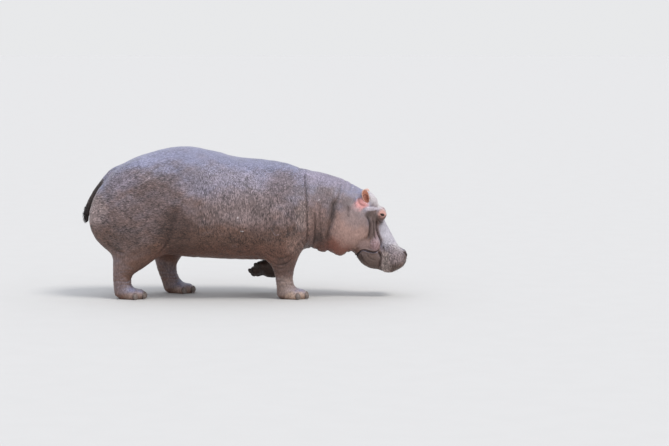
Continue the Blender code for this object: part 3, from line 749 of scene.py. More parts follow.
def add_wrinkles(sculpt):
    """Unevenness over the whole hide: broad dents, and wrinkles that stand upright on the flank,
    shoulder and neck, lie slanting on the rump and run round the legs."""
    points, normals = sculpt.points, sculpt.normals
    x, _, z = points.T
    flat = np.abs(normals[:, 1])
    body = 1 - headness(points)
    calm = 1 - footness(points)
    sculpt.lift += 0.0022 * waves(points, 0.22, 1) * body * calm
    sculpt.lift += 0.0012 * waves(points, 0.09, 2) * calm
    bend = 0.30 * waves(points, 0.30, 3) + 0.10 * waves(points, 0.08, 4)
    patch = smoothstep(-0.3, 0.9, waves(points, 0.25, 5))

    def wrinkle(across, spacing, wander, twist, depth, where):
        """Grooves `spacing` apart along `across`, in patches of the place that `where` gives."""
        lines = np.sin((across + wander * bend) * 2 * math.pi / spacing + twist * bend)
        sculpt.lift -= depth * smoothstep(0.2, 1.0, lines) * where * patch

    upright = smoothstep(-0.75, -0.35, x) * smoothstep(1.15, 0.80, x) * smoothstep(1.42, 1.20, z)
    upright = upright * smoothstep(0.42, 0.60, z) * smoothstep(0.3, 0.7, flat)
    wrinkle(x, 0.034, 0.05, 2.2, 0.0010, upright)
    slant = smoothstep(-0.45, -0.80, x) * smoothstep(0.55, 0.80, z) * smoothstep(0.3, 0.6, flat)
    wrinkle(z + 0.35 * x, 0.032, 0.05, 2.2, 0.0010, slant)
    wrinkle(z, 0.028, 0.03, 2.0, 0.0012, smoothstep(0.62, 0.40, z) * body * calm)


# --- ears ---------------------------------------------------------------------------------------

EAR_ROOT = (1.316, 0.156, 1.038)
EAR_LENGTH = 0.172
EAR_SINK = 0.034
EAR_HALF_WIDTH = 0.043
EAR_DEPTH = 0.036
EAR_WALL = 0.0105
EAR_VOXEL = 0.0023
EAR_TURN = {RIGHT: (14, 9, 64), LEFT: (38, -6, 48)}  # lean out, lean back, turn of the cup


def ear_size(height):
    """How wide the ear is at a height over its root, as a share of its full width."""
    t = ear_share(height).clip(0, 1)
    narrow = 0.60 + 0.40 * np.sin((t / 0.5).clip(0, 1) * math.pi / 2)
    return np.where(t < 0.5, narrow, np.sqrt((1 - ((t - 0.5).clip(0) / 0.5) ** 3).clip(0.0004)))


def ear_share(height):
    """A height in the ear's frame as a share of its length, from its root at 0 to its tip at 1."""
    return (height + EAR_SINK) / EAR_LENGTH


def ear_wrap(t):
    """How far the leaf of the ear wraps round to each side, from its root at 0 to its tip at 1."""
    return np.radians(150 - 75 * t)


def ear_matrix(side):
    lean_out, lean_back, cup = EAR_TURN[side]
    x, y, z = EAR_ROOT
    return (
        Matrix.Translation((x, side * y, z))
        @ Matrix.Rotation(math.radians(-side * lean_out), 4, "X")
        @ Matrix.Rotation(math.radians(-lean_back), 4, "Y")
        @ Matrix.Rotation(math.radians(side * cup), 4, "Z")
    )


def ear_leaf(inset):
    """A cupped leaf, open towards its own +X: rows of points from the root to the tip. `inset`
    is how far it lies inside the ear's outer face."""
    rows = []
    for t in 1 - np.linspace(1.0, 0.0, 26) ** 1.5:
        rise = -EAR_SINK + EAR_LENGTH * t
        size = ear_size(rise)
        half = max(EAR_HALF_WIDTH * size - inset * 0.8, 0.0008)
        deep = max(EAR_DEPTH * size - inset, 0.0008)
        wrap = ear_wrap(t)
        row = []
        for turn in np.linspace(-wrap, wrap, 25):
            x = -deep * math.cos(turn)
            y = half * math.sin(turn) * (1 + 0.06 * math.cos(2 * turn))
            row.append((x, y, rise - inset * 0.9 * t**3))
        rows.append(row)
    return np.array(rows)


def ear_shape(side):
    """One ear as a closed shape: an outer leaf, an inner leaf and the rim between them."""
    outer, inner = ear_leaf(0.0), ear_leaf(EAR_WALL)
    rows, columns = outer.shape[:2]
    size = rows * columns
    number = np.arange(size).reshape(rows, columns)
    around = [*number[0], *number[1:, -1], *number[-1, -2::-1], *number[-2:0:-1, 0]]
    one, other = np.array(around), np.roll(around, -1)
    rim = np.array([other, one, one + size, other + size])
    right = slice(columns - 1, columns + rows - 2)  # these are cut along their other diagonal
    rim[:, right] = np.roll(rim[:, right], -1, axis=0)
    leaf = grid_quads(rows, columns)
    points = np.concatenate([outer.reshape(-1, 3), inner.reshape(-1, 3)])
    faces = cut_quads(np.concatenate([leaf, leaf[::-1] + size, rim], axis=1))
    points, faces = remeshed(from_ear(points, side), faces, EAR_VOXEL)
    edges, _ = edges_of(faces)
    return smoothed(points, edges, 0.5, 5), faces


def with_ears(points, faces):
    """The skin with both ears grown onto it."""
    skin = make_object("skin", make_mesh("skin", points, faces))
    for side in BOTH:
        ear = make_object("ear", make_mesh("ear", *ear_shape(side)))
        union = skin.modifiers.new("Ear", "BOOLEAN")
        union.operation, union.solver, union.object = "UNION", "MANIFOLD", ear
        graph = bpy.context.evaluated_depsgraph_get()
        joined = bpy.data.meshes.new_from_object(skin.evaluated_get(graph))
        skin.modifiers.clear()
        skin.data = joined
        bpy.data.objects.remove(ear)
    points, faces = positions(skin.data), triangles(skin.data)
    bpy.data.objects.remove(skin)
    return points, faces


def from_ear(points, side):
    """Places in an ear's own frame as places in the model."""
    matrix = np.array(ear_matrix(side))
    return points @ matrix[:3, :3].T + matrix[:3, 3]


def to_ear(points, side):
    """Places in the model as places in an ear's own frame."""
    matrix = np.array(ear_matrix(side).inverted())
    return points @ matrix[:3, :3].T + matrix[:3, 3]


def out_of_ear(ear):
    """How far places in an ear's frame are from its axis: 1 on the outer leaf."""
    return np.hypot(ear[:, 0] / EAR_DEPTH, ear[:, 1] / EAR_HALF_WIDTH) / ear_size(ear[:, 2])


# --- colours ------------------------------------------------------------------------------------

# The hide's colours by how far up a place faces: painted bluish sky sheen on top, painted shade low down
# and underneath
HIDE_UP_SKY_SHEEN = (0.205, 0.206, 0.298)
HIDE_HIGH_SKY_SHEEN = (0.190, 0.156, 0.178)
HIDE_SIDE = (0.172, 0.117, 0.110)
HIDE_LOW_SHADED = (0.142, 0.074, 0.052)
HIDE_UNDER_SHADED = (0.115, 0.058, 0.042)

# Patches of the hide on both sides, its own tones and painted light and shade: (centre, radii, colour,
# strength)
TONE_AND_SHADING_PATCHES = (
    # painted sky sheen along the top of the neck
    ((0.94, 0.10, 1.30), (0.40, 0.40, 0.10), (0.275, 0.232, 0.292), 0.7),  # along the neck
    # painted sky sheen on the upper flank
    ((-0.17, 0.45, 1.24), (0.42, 0.40, 0.15), (0.255, 0.226, 0.286), 0.75),  # the upper flank
    # painted light on the middle of the flank, and painted shade below it
    ((0.00, 0.50, 1.00), (0.36, 0.40, 0.18), (0.252, 0.188, 0.186), 0.75),  # the light flank
    ((-0.05, 0.50, 0.69), (0.60, 0.40, 0.12), (0.118, 0.064, 0.048), 0.6),  # under it
    ((0.41, 0.40, 1.24), (0.16, 0.40, 0.14), (0.172, 0.124, 0.132), 0.75),  # the shoulder
    ((0.87, 0.35, 1.11), (0.11, 0.30, 0.09), (0.150, 0.108, 0.108), 0.7),  # behind the nape
    # painted light on the rounded rear of the buttock
    ((-1.60, 0.30, 0.97), (0.13, 0.40, 0.16), (0.310, 0.238, 0.230), 0.8),  # the buttock
    # painted sky sheen over the rump
    ((-1.30, 0.40, 1.28), (0.20, 0.40, 0.09), (0.215, 0.185, 0.230), 0.7),  # over the rump
    ((-0.90, 0.50, 1.02), (0.24, 0.40, 0.34), (0.118, 0.080, 0.078), 0.6),  # the dark haunch
    ((0.31, 0.30, 0.45), (0.45, 0.40, 0.16), (0.172, 0.086, 0.062), 0.8),  # low on the chest
    # painted shade along the belly, over its darker tone
    ((-0.20, 0.30, 0.47), (0.90, 0.45, 0.12), (0.135, 0.064, 0.045), 0.7),  # along the belly
    # painted shade in the hollow before the thigh
    ((-0.70, 0.45, 0.73), (0.19, 0.30, 0.25), (0.088, 0.048, 0.038), 0.75),  # before the thigh
    ((-1.35, 0.30, 0.62), (0.30, 0.30, 0.20), (0.120, 0.075, 0.064), 0.6),  # low on the buttock
    # painted highlight on the ridge beside the shoulder's fold
    ((0.640, 0.45, 0.90), (0.075, 0.30, 0.14), (0.300, 0.222, 0.208), 0.75),  # shoulder's edge
    ((0.56, 0.35, 0.60), (0.09, 0.30, 0.12), (0.215, 0.135, 0.112), 0.7),  # over the elbow
    # painted shadow in the notch before the elbow
    ((0.712, 0.30, 0.55), (0.060, 0.20, 0.095), (0.050, 0.030, 0.026), 0.9),  # before it
    ((0.785, 0.30, 0.74), (0.12, 0.30, 0.28), (0.195, 0.122, 0.106), 0.7),  # the neck's side
    ((0.800, 0.30, 0.64), (0.050, 0.25, 0.075), (0.070, 0.042, 0.036), 0.8),
    # painted shade in the neck's fold behind the cheek
    ((0.963, 0.30, 0.94), (0.052, 0.25, 0.130), (0.098, 0.069, 0.065), 0.75),  # behind the cheek
    ((0.835, 0.10, 0.53), (0.10, 0.25, 0.08), (0.150, 0.070, 0.053), 0.8),  # the throat
    ((1.02, 0.20, 0.56), (0.12, 0.25, 0.12), (0.225, 0.088, 0.064), 0.85),  # the jowl
    ((1.140, 0.30, 0.760), (0.165, 0.25, 0.18), (0.375, 0.235, 0.200), 0.9),  # the cheek
    ((1.205, 0.30, 0.88), (0.14, 0.25, 0.11), (0.205, 0.158, 0.158), 0.7),  # above the cheek
    ((1.120, 0.28, 1.03), (0.070, 0.20, 0.070), (0.120, 0.085, 0.083), 0.75),
    ((1.230, 0.22, 0.985), (0.060, 0.16, 0.045), (0.320, 0.198, 0.203), 0.7),  # behind the ear
    ((1.268, 0.22, 1.020), (0.060, 0.16, 0.050), (0.570, 0.245, 0.235), 0.95),  # by the ear
    # painted shade in the hollow of the temple and on down behind the eye
    ((1.345, 0.20, 0.895), (0.042, 0.14, 0.040), (0.070, 0.048, 0.044), 0.9),  # the temple
    ((1.408, 0.22, 0.848), (0.058, 0.14, 0.060), (0.075, 0.052, 0.048), 0.85),
    # painted shade along the face's folds
    ((1.385, 0.22, 0.790), (0.036, 0.14, 0.150), (0.120, 0.080, 0.072), 0.85),  # face's folds
    ((1.295, 0.25, 0.575), (0.065, 0.14, 0.060), (0.330, 0.222, 0.205), 0.85),
    ((1.412, 0.22, 0.572), (0.048, 0.12, 0.062), (0.350, 0.222, 0.230), 0.75),  # mouth's pad
    ((1.428, 0.22, 0.650), (0.024, 0.12, 0.070), (0.300, 0.200, 0.205), 0.65),
    ((1.335, 0.12, 0.385), (0.150, 0.25, 0.115), (0.108, 0.070, 0.058), 0.95),  # lower jaw
    # painted shadow at the back corner of the mouth
    ((1.232, 0.18, 0.430), (0.050, 0.20, 0.045), (0.050, 0.032, 0.027), 0.75),
    ((1.385, 0.06, 1.070), (0.090, 0.12, 0.080), (0.510, 0.470, 0.480), 0.85),  # forehead
    ((1.455, 0.06, 0.980), (0.050, 0.09, 0.050), (0.540, 0.500, 0.500), 0.8),
    ((1.375, 0.20, 0.962), (0.070, 0.08, 0.020), (0.500, 0.450, 0.500), 0.8),  # the arch
    ((1.505, 0.17, 0.920), (0.060, 0.09, 0.052), (0.480, 0.345, 0.330), 0.85),  # the brow
    # painted highlight, a bluish sky sheen along the bridge, over its paler skin
    ((1.528, 0.11, 0.740), (0.066, 0.14, 0.110), (0.395, 0.375, 0.420), 0.9),  # the bridge
    ((1.580, 0.11, 0.620), (0.085, 0.14, 0.090), (0.430, 0.405, 0.450), 0.85),
    ((1.468, 0.19, 0.815), (0.046, 0.09, 0.042), (0.120, 0.070, 0.058), 0.85),  # under the eye
    # painted highlight on the top of the muzzle, over its paler skin
    ((1.668, 0.10, 0.535), (0.060, 0.13, 0.048), (0.640, 0.610, 0.640), 0.85),
    ((1.610, 0.15, 0.440), (0.130, 0.25, 0.110), (0.225, 0.172, 0.172), 0.85),  # upper lip
    ((1.665, 0.15, 0.305), (0.120, 0.25, 0.060), (0.098, 0.057, 0.043), 0.85),  # its lower edge
    ((1.775, 0.12, 0.400), (0.055, 0.25, 0.110), (0.085, 0.056, 0.050), 0.8),  # front of the nose
    ((1.515, 0.190, 0.360), (0.050, 0.14, 0.120), (0.400, 0.315, 0.288), 0.85),
    ((0.445, 0.27, 0.360), (0.130, 0.20, 0.110), (0.095, 0.058, 0.050), 0.7),  # the forelegs
    ((0.455, 0.27, 0.130), (0.120, 0.20, 0.110), (0.270, 0.196, 0.168), 0.8),
    ((0.565, 0.27, 0.040), (0.110, 0.16, 0.050), (0.540, 0.385, 0.300), 0.8),  # toes
    ((-1.175, 0.28, 0.040), (0.110, 0.16, 0.050), (0.360, 0.255, 0.210), 0.7),
    ((-0.685, 0.28, 0.040), (0.110, 0.16, 0.050), (0.360, 0.255, 0.210), 0.7),
)
# The lifted foot is dark with mud and painted shade: centre, radii, colour
LIFTED_FOOT_MUD_AND_SHADE = ((0.205, 0.29, 0.27), (0.24, 0.20, 0.17), (0.042, 0.024, 0.018))
# The tail's own dark tone with painted shade, which also darkens the rump's cleft beside it
TAIL_TONE_AND_SHADE = (0.038, 0.025, 0.023)
TAIL_LINE = ((-1.540, 0.0, 1.212), (-1.608, 0.0, 1.122), (-1.676, 0.0, 0.999),
             (-1.717, 0.0, 0.885), (-1.709, 0.0, 0.800))
LID_COLOUR = (0.560, 0.305, 0.258)
LID_RIM = (0.300, 0.130, 0.110)
LID_BELOW = (0.170, 0.095, 0.080)
EAR_OUTSIDE = (0.520, 0.330, 0.280)
EAR_RIM = (0.680, 0.415, 0.335)
EAR_INSIDE = (0.600, 0.265, 0.175)
EAR_PIT_SHADE = (0.260, 0.095, 0.062)

# Small pale marks on the right side, scratches, specks and one painted glint: (x and z of one end, of the
# other end, width, colour, strength)
SCRATCH, SPECK_AND_GLINT = (0.420, 0.340, 0.360), (0.700, 0.680, 0.690)
MARKS = (
    ((-1.227, 1.262), (-1.130, 1.338), 0.0040, SCRATCH, 0.7),
    ((-1.085, 1.246), (-0.990, 1.312), 0.0040, SCRATCH, 0.6),
    ((-1.150, 1.215), (-1.100, 1.240), 0.0032, SCRATCH, 0.5),
    ((-0.355, 1.352), (-0.351, 1.358), 0.0050, SPECK_AND_GLINT, 0.6),
    ((-0.345, 1.266), (-0.340, 1.276), 0.0050, SPECK_AND_GLINT, 0.55),
    ((-0.375, 1.305), (-0.372, 1.308), 0.0045, SPECK_AND_GLINT, 0.7),
    ((-0.058, 0.884), (-0.050, 0.896), 0.0050, SPECK_AND_GLINT, 0.55),
    ((-0.025, 0.752), (0.002, 0.744), 0.0050, SPECK_AND_GLINT, 0.6),
    ((0.300, 0.780), (0.345, 0.700), 0.0034, SCRATCH, 0.5),
    ((0.345, 0.700), (0.395, 0.716), 0.0034, SCRATCH, 0.5),
    ((0.560, 0.850), (0.590, 0.790), 0.0034, SCRATCH, 0.5),
    # a painted glint on the top of the neck
    ((1.170, 1.182), (1.178, 1.190), 0.0050, SPECK_AND_GLINT, 0.35),
    ((0.805, 1.064), (0.813, 1.072), 0.0050, SPECK_AND_GLINT, 0.55),
)


def patch_weight(place, centre, radii, ragged=0.0):
    """1 in the middle of a patch, fading to 0 over an edge as ragged as is wanted."""
    away = (((place - np.array(centre)) / radii) ** 2).sum(axis=1)
    return smoothstep(2.1, 0.20, away * (1 + ragged))


def from_segment(places, start, end):
    """How far places are from the line between two points."""
    along = end - start
    share = ((places - start) @ along / (along @ along)).clip(0, 1)
    return np.linalg.norm(places - start - share[:, None] * along, axis=1)


class Paint:
    """The hide's broad colours at each point, before the material's own variation."""

    def __init__(self, points, normals):
        self.points = points
        self.wobble = 0.45 * waves(points, 0.11, 22) + 0.30 * waves(points, 0.035, 23)
        self.colour = np.tile(np.array(HIDE_SIDE), (len(points), 1))
        # Painted light: a bluish sky sheen on faces that look up, painted shade on those that look down
        up = normals[:, 2] + 0.10 * waves(points, 0.16, 21)
        self.mix(HIDE_LOW_SHADED, smoothstep(0.05, -0.45, up))
        self.mix(HIDE_UNDER_SHADED, smoothstep(-0.35, -0.90, up))
        self.mix(HIDE_HIGH_SKY_SHEEN, smoothstep(-0.05, 0.45, up))
        self.mix(HIDE_UP_SKY_SHEEN, smoothstep(0.30, 0.92, up))

    def mix(self, target, weight):
        self.colour = self.colour + (np.array(target) - self.colour) * weight[:, None]

    def patches(self):
        place = folded(self.points)
        for centre, radii, tint, strength in TONE_AND_SHADING_PATCHES:
            self.mix(tint, patch_weight(place, centre, radii, 0.35 * self.wobble) * strength)
        # the lifted foot darkened with mud and painted shade
        centre, radii, tint = LIFTED_FOOT_MUD_AND_SHADE
        self.mix(tint, patch_weight(self.points, centre, radii))

    def marks(self):
        """The small pale marks of the right side, one of them a painted glint."""
        on_right = self.points[:, 1] < 0
        for start, end, width, tint, strength in MARKS:
            away = from_segment(self.points[:, [0, 2]], np.array(start), np.array(end))
            self.mix(tint, smoothstep(width, 0.4 * width, away) * strength * on_right)

    def tail(self):
        # The tail darkened, with painted shade on the rump close beside it
        away = np.full(len(self.points), 1.0)
        for step in smooth_line(TAIL_LINE, 0.02):
            away = np.minimum(away, np.linalg.norm(self.points - step, axis=1))
        tail = smoothstep(0.088, 0.062, away + 0.004 * self.wobble)
        self.mix(TAIL_TONE_AND_SHADE, tail * smoothstep(1.36, 1.22, self.points[:, 2]))

    def lids(self, side):
        """Pale lids with a darker rim, and darker below the eye."""
        offset = self.points - middle_of(EYES[side])
        away, rise = np.linalg.norm(offset, axis=1), offset[:, 2]
        reach = away + 0.0022 * self.wobble + 0.012 * smoothstep(0.02, -0.02, rise)
        self.mix(LID_COLOUR, smoothstep(0.064, 0.034, reach) * 0.9)
        below = smoothstep(0.004, -0.016, rise + 0.004 * self.wobble)
        self.mix(LID_BELOW, below * smoothstep(0.060, 0.048, away) * smoothstep(0.029, 0.036, away))
        self.mix(LID_RIM, smoothstep(EYE_RADIUS + 0.0040, EYE_RADIUS + 0.0010, away))

    def ear(self, side, grown, pit):
        """`grown` is 1 on the ears, and `pit` 1 on the skin inside them."""
        ear = to_ear(self.points, side)
        mine = grown * (np.abs(ear).max(axis=1) < 0.2)
        # painted shade on the skin deep in each ear's cup
        self.mix(EAR_PIT_SHADE, pit * (self.points[:, 1] * side > 0))
        self.mix(EAR_OUTSIDE, mine)
        inside = mine * smoothstep(0.92, 0.82, out_of_ear(ear))
        self.mix(EAR_INSIDE, inside)
        # painted shade low inside the leaf, towards the bottom of the cup
        self.mix(EAR_PIT_SHADE, inside * smoothstep(0.080, 0.020, ear[:, 2]))
        around = np.arctan2(np.abs(ear[:, 1]) / EAR_HALF_WIDTH, -ear[:, 0] / EAR_DEPTH)
        high = ear_share(ear[:, 2])
        rim = smoothstep(-0.40, -0.12, around - ear_wrap(high))
        self.mix(EAR_RIM, mine * np.maximum(rim, smoothstep(0.92, 0.98, high)))


def painted(points, normals, grown, pit):
    """The hide's colour at each point."""
    paint = Paint(points, normals)
    paint.patches()
    paint.marks()
    paint.tail()
    for side in BOTH:
        paint.lids(side)
        paint.ear(side, grown, pit)
    return paint.colour.clip(0, 1)


# --- materials ----------------------------------------------------------------------------------


class Nodes:
    """A short way of writing a material's nodes."""

    def __init__(self, name):
        self.material = bpy.data.materials.new(name)
        self.material.use_nodes = True
        self.tree = self.material.node_tree
        self.shader = self.tree.nodes["Principled BSDF"]
        self.place = self.tree.nodes.new("ShaderNodeTexCoord").outputs["Object"]

    def set(self, socket, value):
        """Links a socket to another one, or gives it a fixed number, vector or colour."""
        if isinstance(value, bpy.types.NodeSocket):
            self.tree.links.new(value, socket)
        else:
            socket.default_value = (*value, 1.0) if socket.type == "RGBA" else value

    def finish(self, **values):
        """Sets the shader's own sockets, such as Base_Color, and gives the material."""
        for name, value in values.items():
            self.set(self.shader.inputs[name.replace("_", " ")], value)
        return self.material

    def node(self, kind, inputs=(), **settings):
        node = self.tree.nodes.new(kind)
        for name, value in settings.items():
            setattr(node, name, value)
        for name, value in dict(inputs).items():
            self.set(node.inputs[name], value)
        return node

    def stretched(self, scale, turn=(0, 0, 0)):
        inputs = {"Vector": self.place, "Scale": scale, "Rotation": turn}
        return self.node("ShaderNodeMapping", inputs).outputs["Vector"]

    def noise(self, scale, detail, rough=0.55, vector=None, warp=0.0, output="Fac"):
        inputs = {"Vector": vector or self.place, "Scale": scale, "Detail": detail}
        inputs.update({"Roughness": rough, "Distortion": warp})
        return self.node("ShaderNodeTexNoise", inputs).outputs[output]

    def cells(self, scale, feature="DISTANCE_TO_EDGE", vector=None):
        inputs = {"Vector": vector or self.place, "Scale": scale}
        return self.node("ShaderNodeTexVoronoi", inputs, feature=feature).outputs["Distance"]

    def math(self, operation, *values, clamp=False):
        inputs = dict(enumerate(values))
        return self.node("ShaderNodeMath", inputs, operation=operation, use_clamp=clamp).outputs[0]

    def times(self, *values):
        """The product of two or more values."""
        product, *others = values
        for value in others:
            product = self.math("MULTIPLY", product, value)
        return product

    def off_centre(self, value):
        """How far a noise is from its middle value."""
        return self.math("ABSOLUTE", self.math("SUBTRACT", value, 0.5))

    def ranged(self, value, low, high, to_low=0.0, to_high=1.0):
        inputs = {0: value, 1: low, 2: high, 3: to_low, 4: to_high}
        return self.node("ShaderNodeMapRange", inputs, interpolation_type="SMOOTHSTEP").outputs[0]

    def mix(self, share, one, other, blend="MIX"):
        inputs = {0: share, 6: one, 7: other}
        return self.node("ShaderNodeMix", inputs, data_type="RGBA", blend_type=blend).outputs[2]

    def tinted(self, colour, factor):
        """A colour times a number or another colour."""
        return self.mix(1.0, colour, factor, "MULTIPLY")

    def attribute(self, name, output="Fac"):
        return self.node("ShaderNodeAttribute", attribute_name=name).outputs[output]

    def relief(self, strength, *layers):
        """A bump from layers of (value, height in metres)."""
        value, tall = layers[0]
        height = self.math("MULTIPLY", value, tall)
        for value, tall in layers[1:]:
            height = self.math("ADD", height, self.math("MULTIPLY", value, tall))
        inputs = {"Height": height, "Strength": strength, "Distance": 1.0}
        return self.node("ShaderNodeBump", inputs).outputs["Normal"]


def hide_material():
    """Bare hide, with painted shade in its folds and wrinkles. The attributes are `tone`, the painted
    colour, `crease`, 1 deep in a fold where shade is painted, `rump`, 1 where lines slant, `flank`, how
    strong the lines are, and `above`, 1 on top."""
    n = Nodes("hippo_hide")
    colour = n.attribute("tone", "Color")
    crease, rump, above, flank = (n.attribute(name) for name in ("crease", "rump", "above", "flank"))

    def hairline(scale, turn, width):
        """Thin meandering lines, 1 on them and 0 between."""
        return n.ranged(n.off_centre(n.noise(1.0, 1.5, 0.5, n.stretched(scale, turn))), width, 0.0)

    def turned(upright, slanting):
        """One value on the flank and another on the rump."""
        inputs = {0: rump, 2: upright, 3: slanting}
        return n.node("ShaderNodeMix", inputs, data_type="FLOAT").outputs[0]

    level, slope = (0, 0, 0), (0, math.radians(-18), 0)
    lines = turned(hairline((52, 52, 6), level, 0.030), hairline((8, 14, 50), slope, 0.030))
    finer = turned(hairline((120, 120, 16), level, 0.045), hairline((20, 30, 115), slope, 0.045))
    coarse = turned(hairline((30, 30, 8), level, 0.085), hairline((11, 14, 38), slope, 0.080))
    speckle = turned(
        n.noise(1.0, 2.0, 0.6, n.stretched((88, 88, 34), level)),
        n.noise(1.0, 2.0, 0.6, n.stretched((42, 42, 88), slope)),
    )
    coarse = n.times(coarse, n.ranged(n.noise(6.0, 3.0), 0.38, 0.62, 0.15, 1.0), flank)
    wrinkle = n.times(lines, n.ranged(n.noise(9.0, 3.0), 0.35, 0.60, 0.20, 1.0), flank)
    fine = n.times(finer, n.ranged(flank, 0.0, 1.0, 0.35, 1.0))
    jitter = {0: 0.014, 4: n.place, 5: n.noise(60.0, 2.0, 0.5, output="Color")}
    warped = n.node("ShaderNodeMix", jitter, data_type="VECTOR").outputs[1]
    cells = n.ranged(n.cells(150, vector=warped), 0.0, 0.10)
    small_cells = n.ranged(n.cells(400, vector=warped), 0.0, 0.20)
    broad = n.noise(5.0, 4.0, 0.6)
    mottle = n.noise(30.0, 4.0, 0.6)
    grain = n.noise(220.0, 3.0, 0.6)

    plain = n.ranged(flank, 0.0, 1.0, 0.32, 1.0)
    for value, contrast in ((broad, 1.0), (mottle, 1.25), (speckle, 2.8), (grain, 0.5)):
        change = n.math("MULTIPLY", n.math("SUBTRACT", value, 0.5), contrast)
        colour = n.tinted(colour, n.math("MULTIPLY_ADD", change, plain, 1.0))
    # Painted shade in the wrinkles: their lines are darkened, and the hide between some of them is
    # lightened a little
    wrinkle_shading = ((coarse, 1.09, 0.57), (wrinkle, 1.04, 0.48), (fine, 1.0, 0.60), (cells, 0.93, 1.0))
    for value, at_none, at_full in wrinkle_shading:
        colour = n.tinted(colour, n.ranged(value, 0.0, 1.0, at_none, at_full))

    scratch = n.noise(1.0, 2.0, 0.5, n.stretched((4, 4, 42), (0, math.radians(38), 0)), 0.3)
    scratch = n.times(
        n.ranged(n.off_centre(scratch), 0.010, 0.0),
        n.ranged(n.noise(3.3, 1.0), 0.60, 0.70),
        n.ranged(flank, 0.5, 0.9),
    )
    colour = n.mix(n.times(scratch, 0.25), colour, (0.55, 0.48, 0.50))
    fleck = n.ranged(n.cells(17.0, "F1"), 0.075, 0.045)
    fleck = n.times(fleck, n.ranged(n.noise(7.0, 1.0), 0.60, 0.66), above, 0.4)
    colour = n.mix(fleck, colour, (0.66, 0.64, 0.66))
    # Painted shade deep in the folds
    deep = n.math("MULTIPLY", crease, 0.92, clamp=True)
    colour = n.mix(deep, colour, n.tinted(colour, (0.17, 0.125, 0.115)))

    rough = n.ranged(mottle, 0.30, 0.70, 0.36, 0.54)
    rough = n.math("ADD", rough, n.times(crease, 0.12))
    rough = n.math("SUBTRACT", rough, n.times(above, 0.06))
    relief = n.relief(
        0.75, (wrinkle, -0.0016), (coarse, -0.0030), (fine, -0.0007), (cells, 0.00032),
        (small_cells, 0.00020), (mottle, 0.0026), (speckle, 0.0012),
    )
    return n.finish(Base_Color=colour, Roughness=rough, Normal=relief, IOR=1.42)


def eye_material(side):
    """Glossy eye: reddish white at the rim, a dark brown iris with fine rays and a darker ring
    round it, and a black lying oval pupil."""
    n = Nodes(f"hippo_eye_{side}")
    _, slit, up = eye_axes(side)
    centre = {0: n.place, 1: tuple(middle_of(EYES[side]))}
    offset = n.node("ShaderNodeVectorMath", centre, operation="SUBTRACT").outputs[0]

    def along(axis):
        node = n.node("ShaderNodeVectorMath", {0: offset, 1: tuple(axis)}, operation="DOT_PRODUCT")
        return n.math("DIVIDE", node.outputs["Value"], EYE_RADIUS)

    def squares(one, other):
        return n.math("ADD", n.math("POWER", one, 2.0), n.math("POWER", other, 2.0))

    across, rise = along(slit), along(up)
    disc = n.math("SQRT", squares(across, rise))
    oval = squares(n.math("DIVIDE", across, 0.40), n.math("DIVIDE", rise, 0.27))
    spin = {0: n.times(n.math("ARCTAN2", rise, across), 7.0), 1: n.times(disc, 3.0)}
    rays = n.noise(1.0, 3.0, 0.6, n.node("ShaderNodeCombineXYZ", spin).outputs[0])
    veins = n.noise(420.0, 4.0, 0.7)
    white = n.mix(n.ranged(veins, 0.45, 0.65), (0.50, 0.33, 0.27), (0.34, 0.15, 0.11))
    iris = n.mix(n.ranged(rays, 0.35, 0.65), (0.010, 0.005, 0.003), (0.042, 0.018, 0.009))
    colour = n.mix(n.ranged(disc, 0.84, 0.92), iris, white)
    ring = n.times(n.ranged(disc, 0.74, 0.86), n.ranged(disc, 0.94, 0.86), 0.8)
    colour = n.mix(ring, colour, (0.015, 0.008, 0.006))
    colour = n.mix(n.ranged(oval, 1.10, 0.90), colour, (0.004, 0.003, 0.003))
    rough = n.ranged(disc, 0.60, 0.80, 0.06, 0.16)
    return n.finish(Base_Color=colour, Roughness=rough, IOR=1.34, Coat_Weight=0.2, Coat_Roughness=0.04)


def nail_material():
    """Horn: grey-brown with growth lines across and a worn, paler edge."""
    n = Nodes("hippo_nail")
    lines = n.noise(1.0, 3.0, 0.6, n.stretched((12, 12, 260)), 0.1)
    dirt = n.noise(45.0, 4.0, 0.65)
    colour = n.mix(n.ranged(lines, 0.35, 0.65), (0.165, 0.130, 0.115), (0.225, 0.182, 0.165))
    colour = n.mix(n.ranged(dirt, 0.42, 0.66, 0.0, 0.8), colour, (0.110, 0.080, 0.062))
    colour = n.mix(n.times(n.attribute("worn"), 0.6), colour, (0.400, 0.350, 0.320))
    # the lifted foot's nails darkened with mud and painted shade
    colour = n.mix(n.times(n.attribute("mud_and_shade"), 0.85), colour, (0.022, 0.014, 0.011))
    relief = n.relief(0.6, (lines, 0.0005), (dirt, 0.0022))
    return n.finish(Base_Color=colour, Roughness=n.ranged(dirt, 0.3, 0.7, 0.46, 0.68), Normal=relief)


def bristle_material(name, root, tip):
    """Stiff hair, from the root's colour to the tip's."""
    n = Nodes(name)
    colour = n.mix(n.attribute("along"), root, tip)
    colour = n.tinted(colour, n.ranged(n.noise(300.0, 2.0, 0.5), 0.3, 0.7, 0.8, 1.2))
    return n.finish(Base_Color=colour, Roughness=0.45)


def floor_material():
    n = Nodes("studio_floor")
    cloudy = n.ranged(n.noise(3.0, 3.0), 0.3, 0.7)
    colour = n.mix(cloudy, (0.566, 0.561, 0.551), (0.574, 0.569, 0.559))
    return n.finish(Base_Color=colour, Roughness=0.9, Specular_IOR_Level=0.2)


# --- pieces -------------------------------------------------------------------------------------

BRISTLE_SQUARE = 0.003


def add_value(mesh, name, values):
    layer = mesh.attributes.new(name, "FLOAT", "POINT")
    layer.data.foreach_set("value", np.ascontiguousarray(values, np.float32))


def add_colour(mesh, name, values):
    layer = mesh.attributes.new(name, "FLOAT_COLOR", "POINT")
    rows = np.column_stack([values, np.ones(len(values))])
    layer.data.foreach_set("color", np.ascontiguousarray(rows, np.float32).ravel())


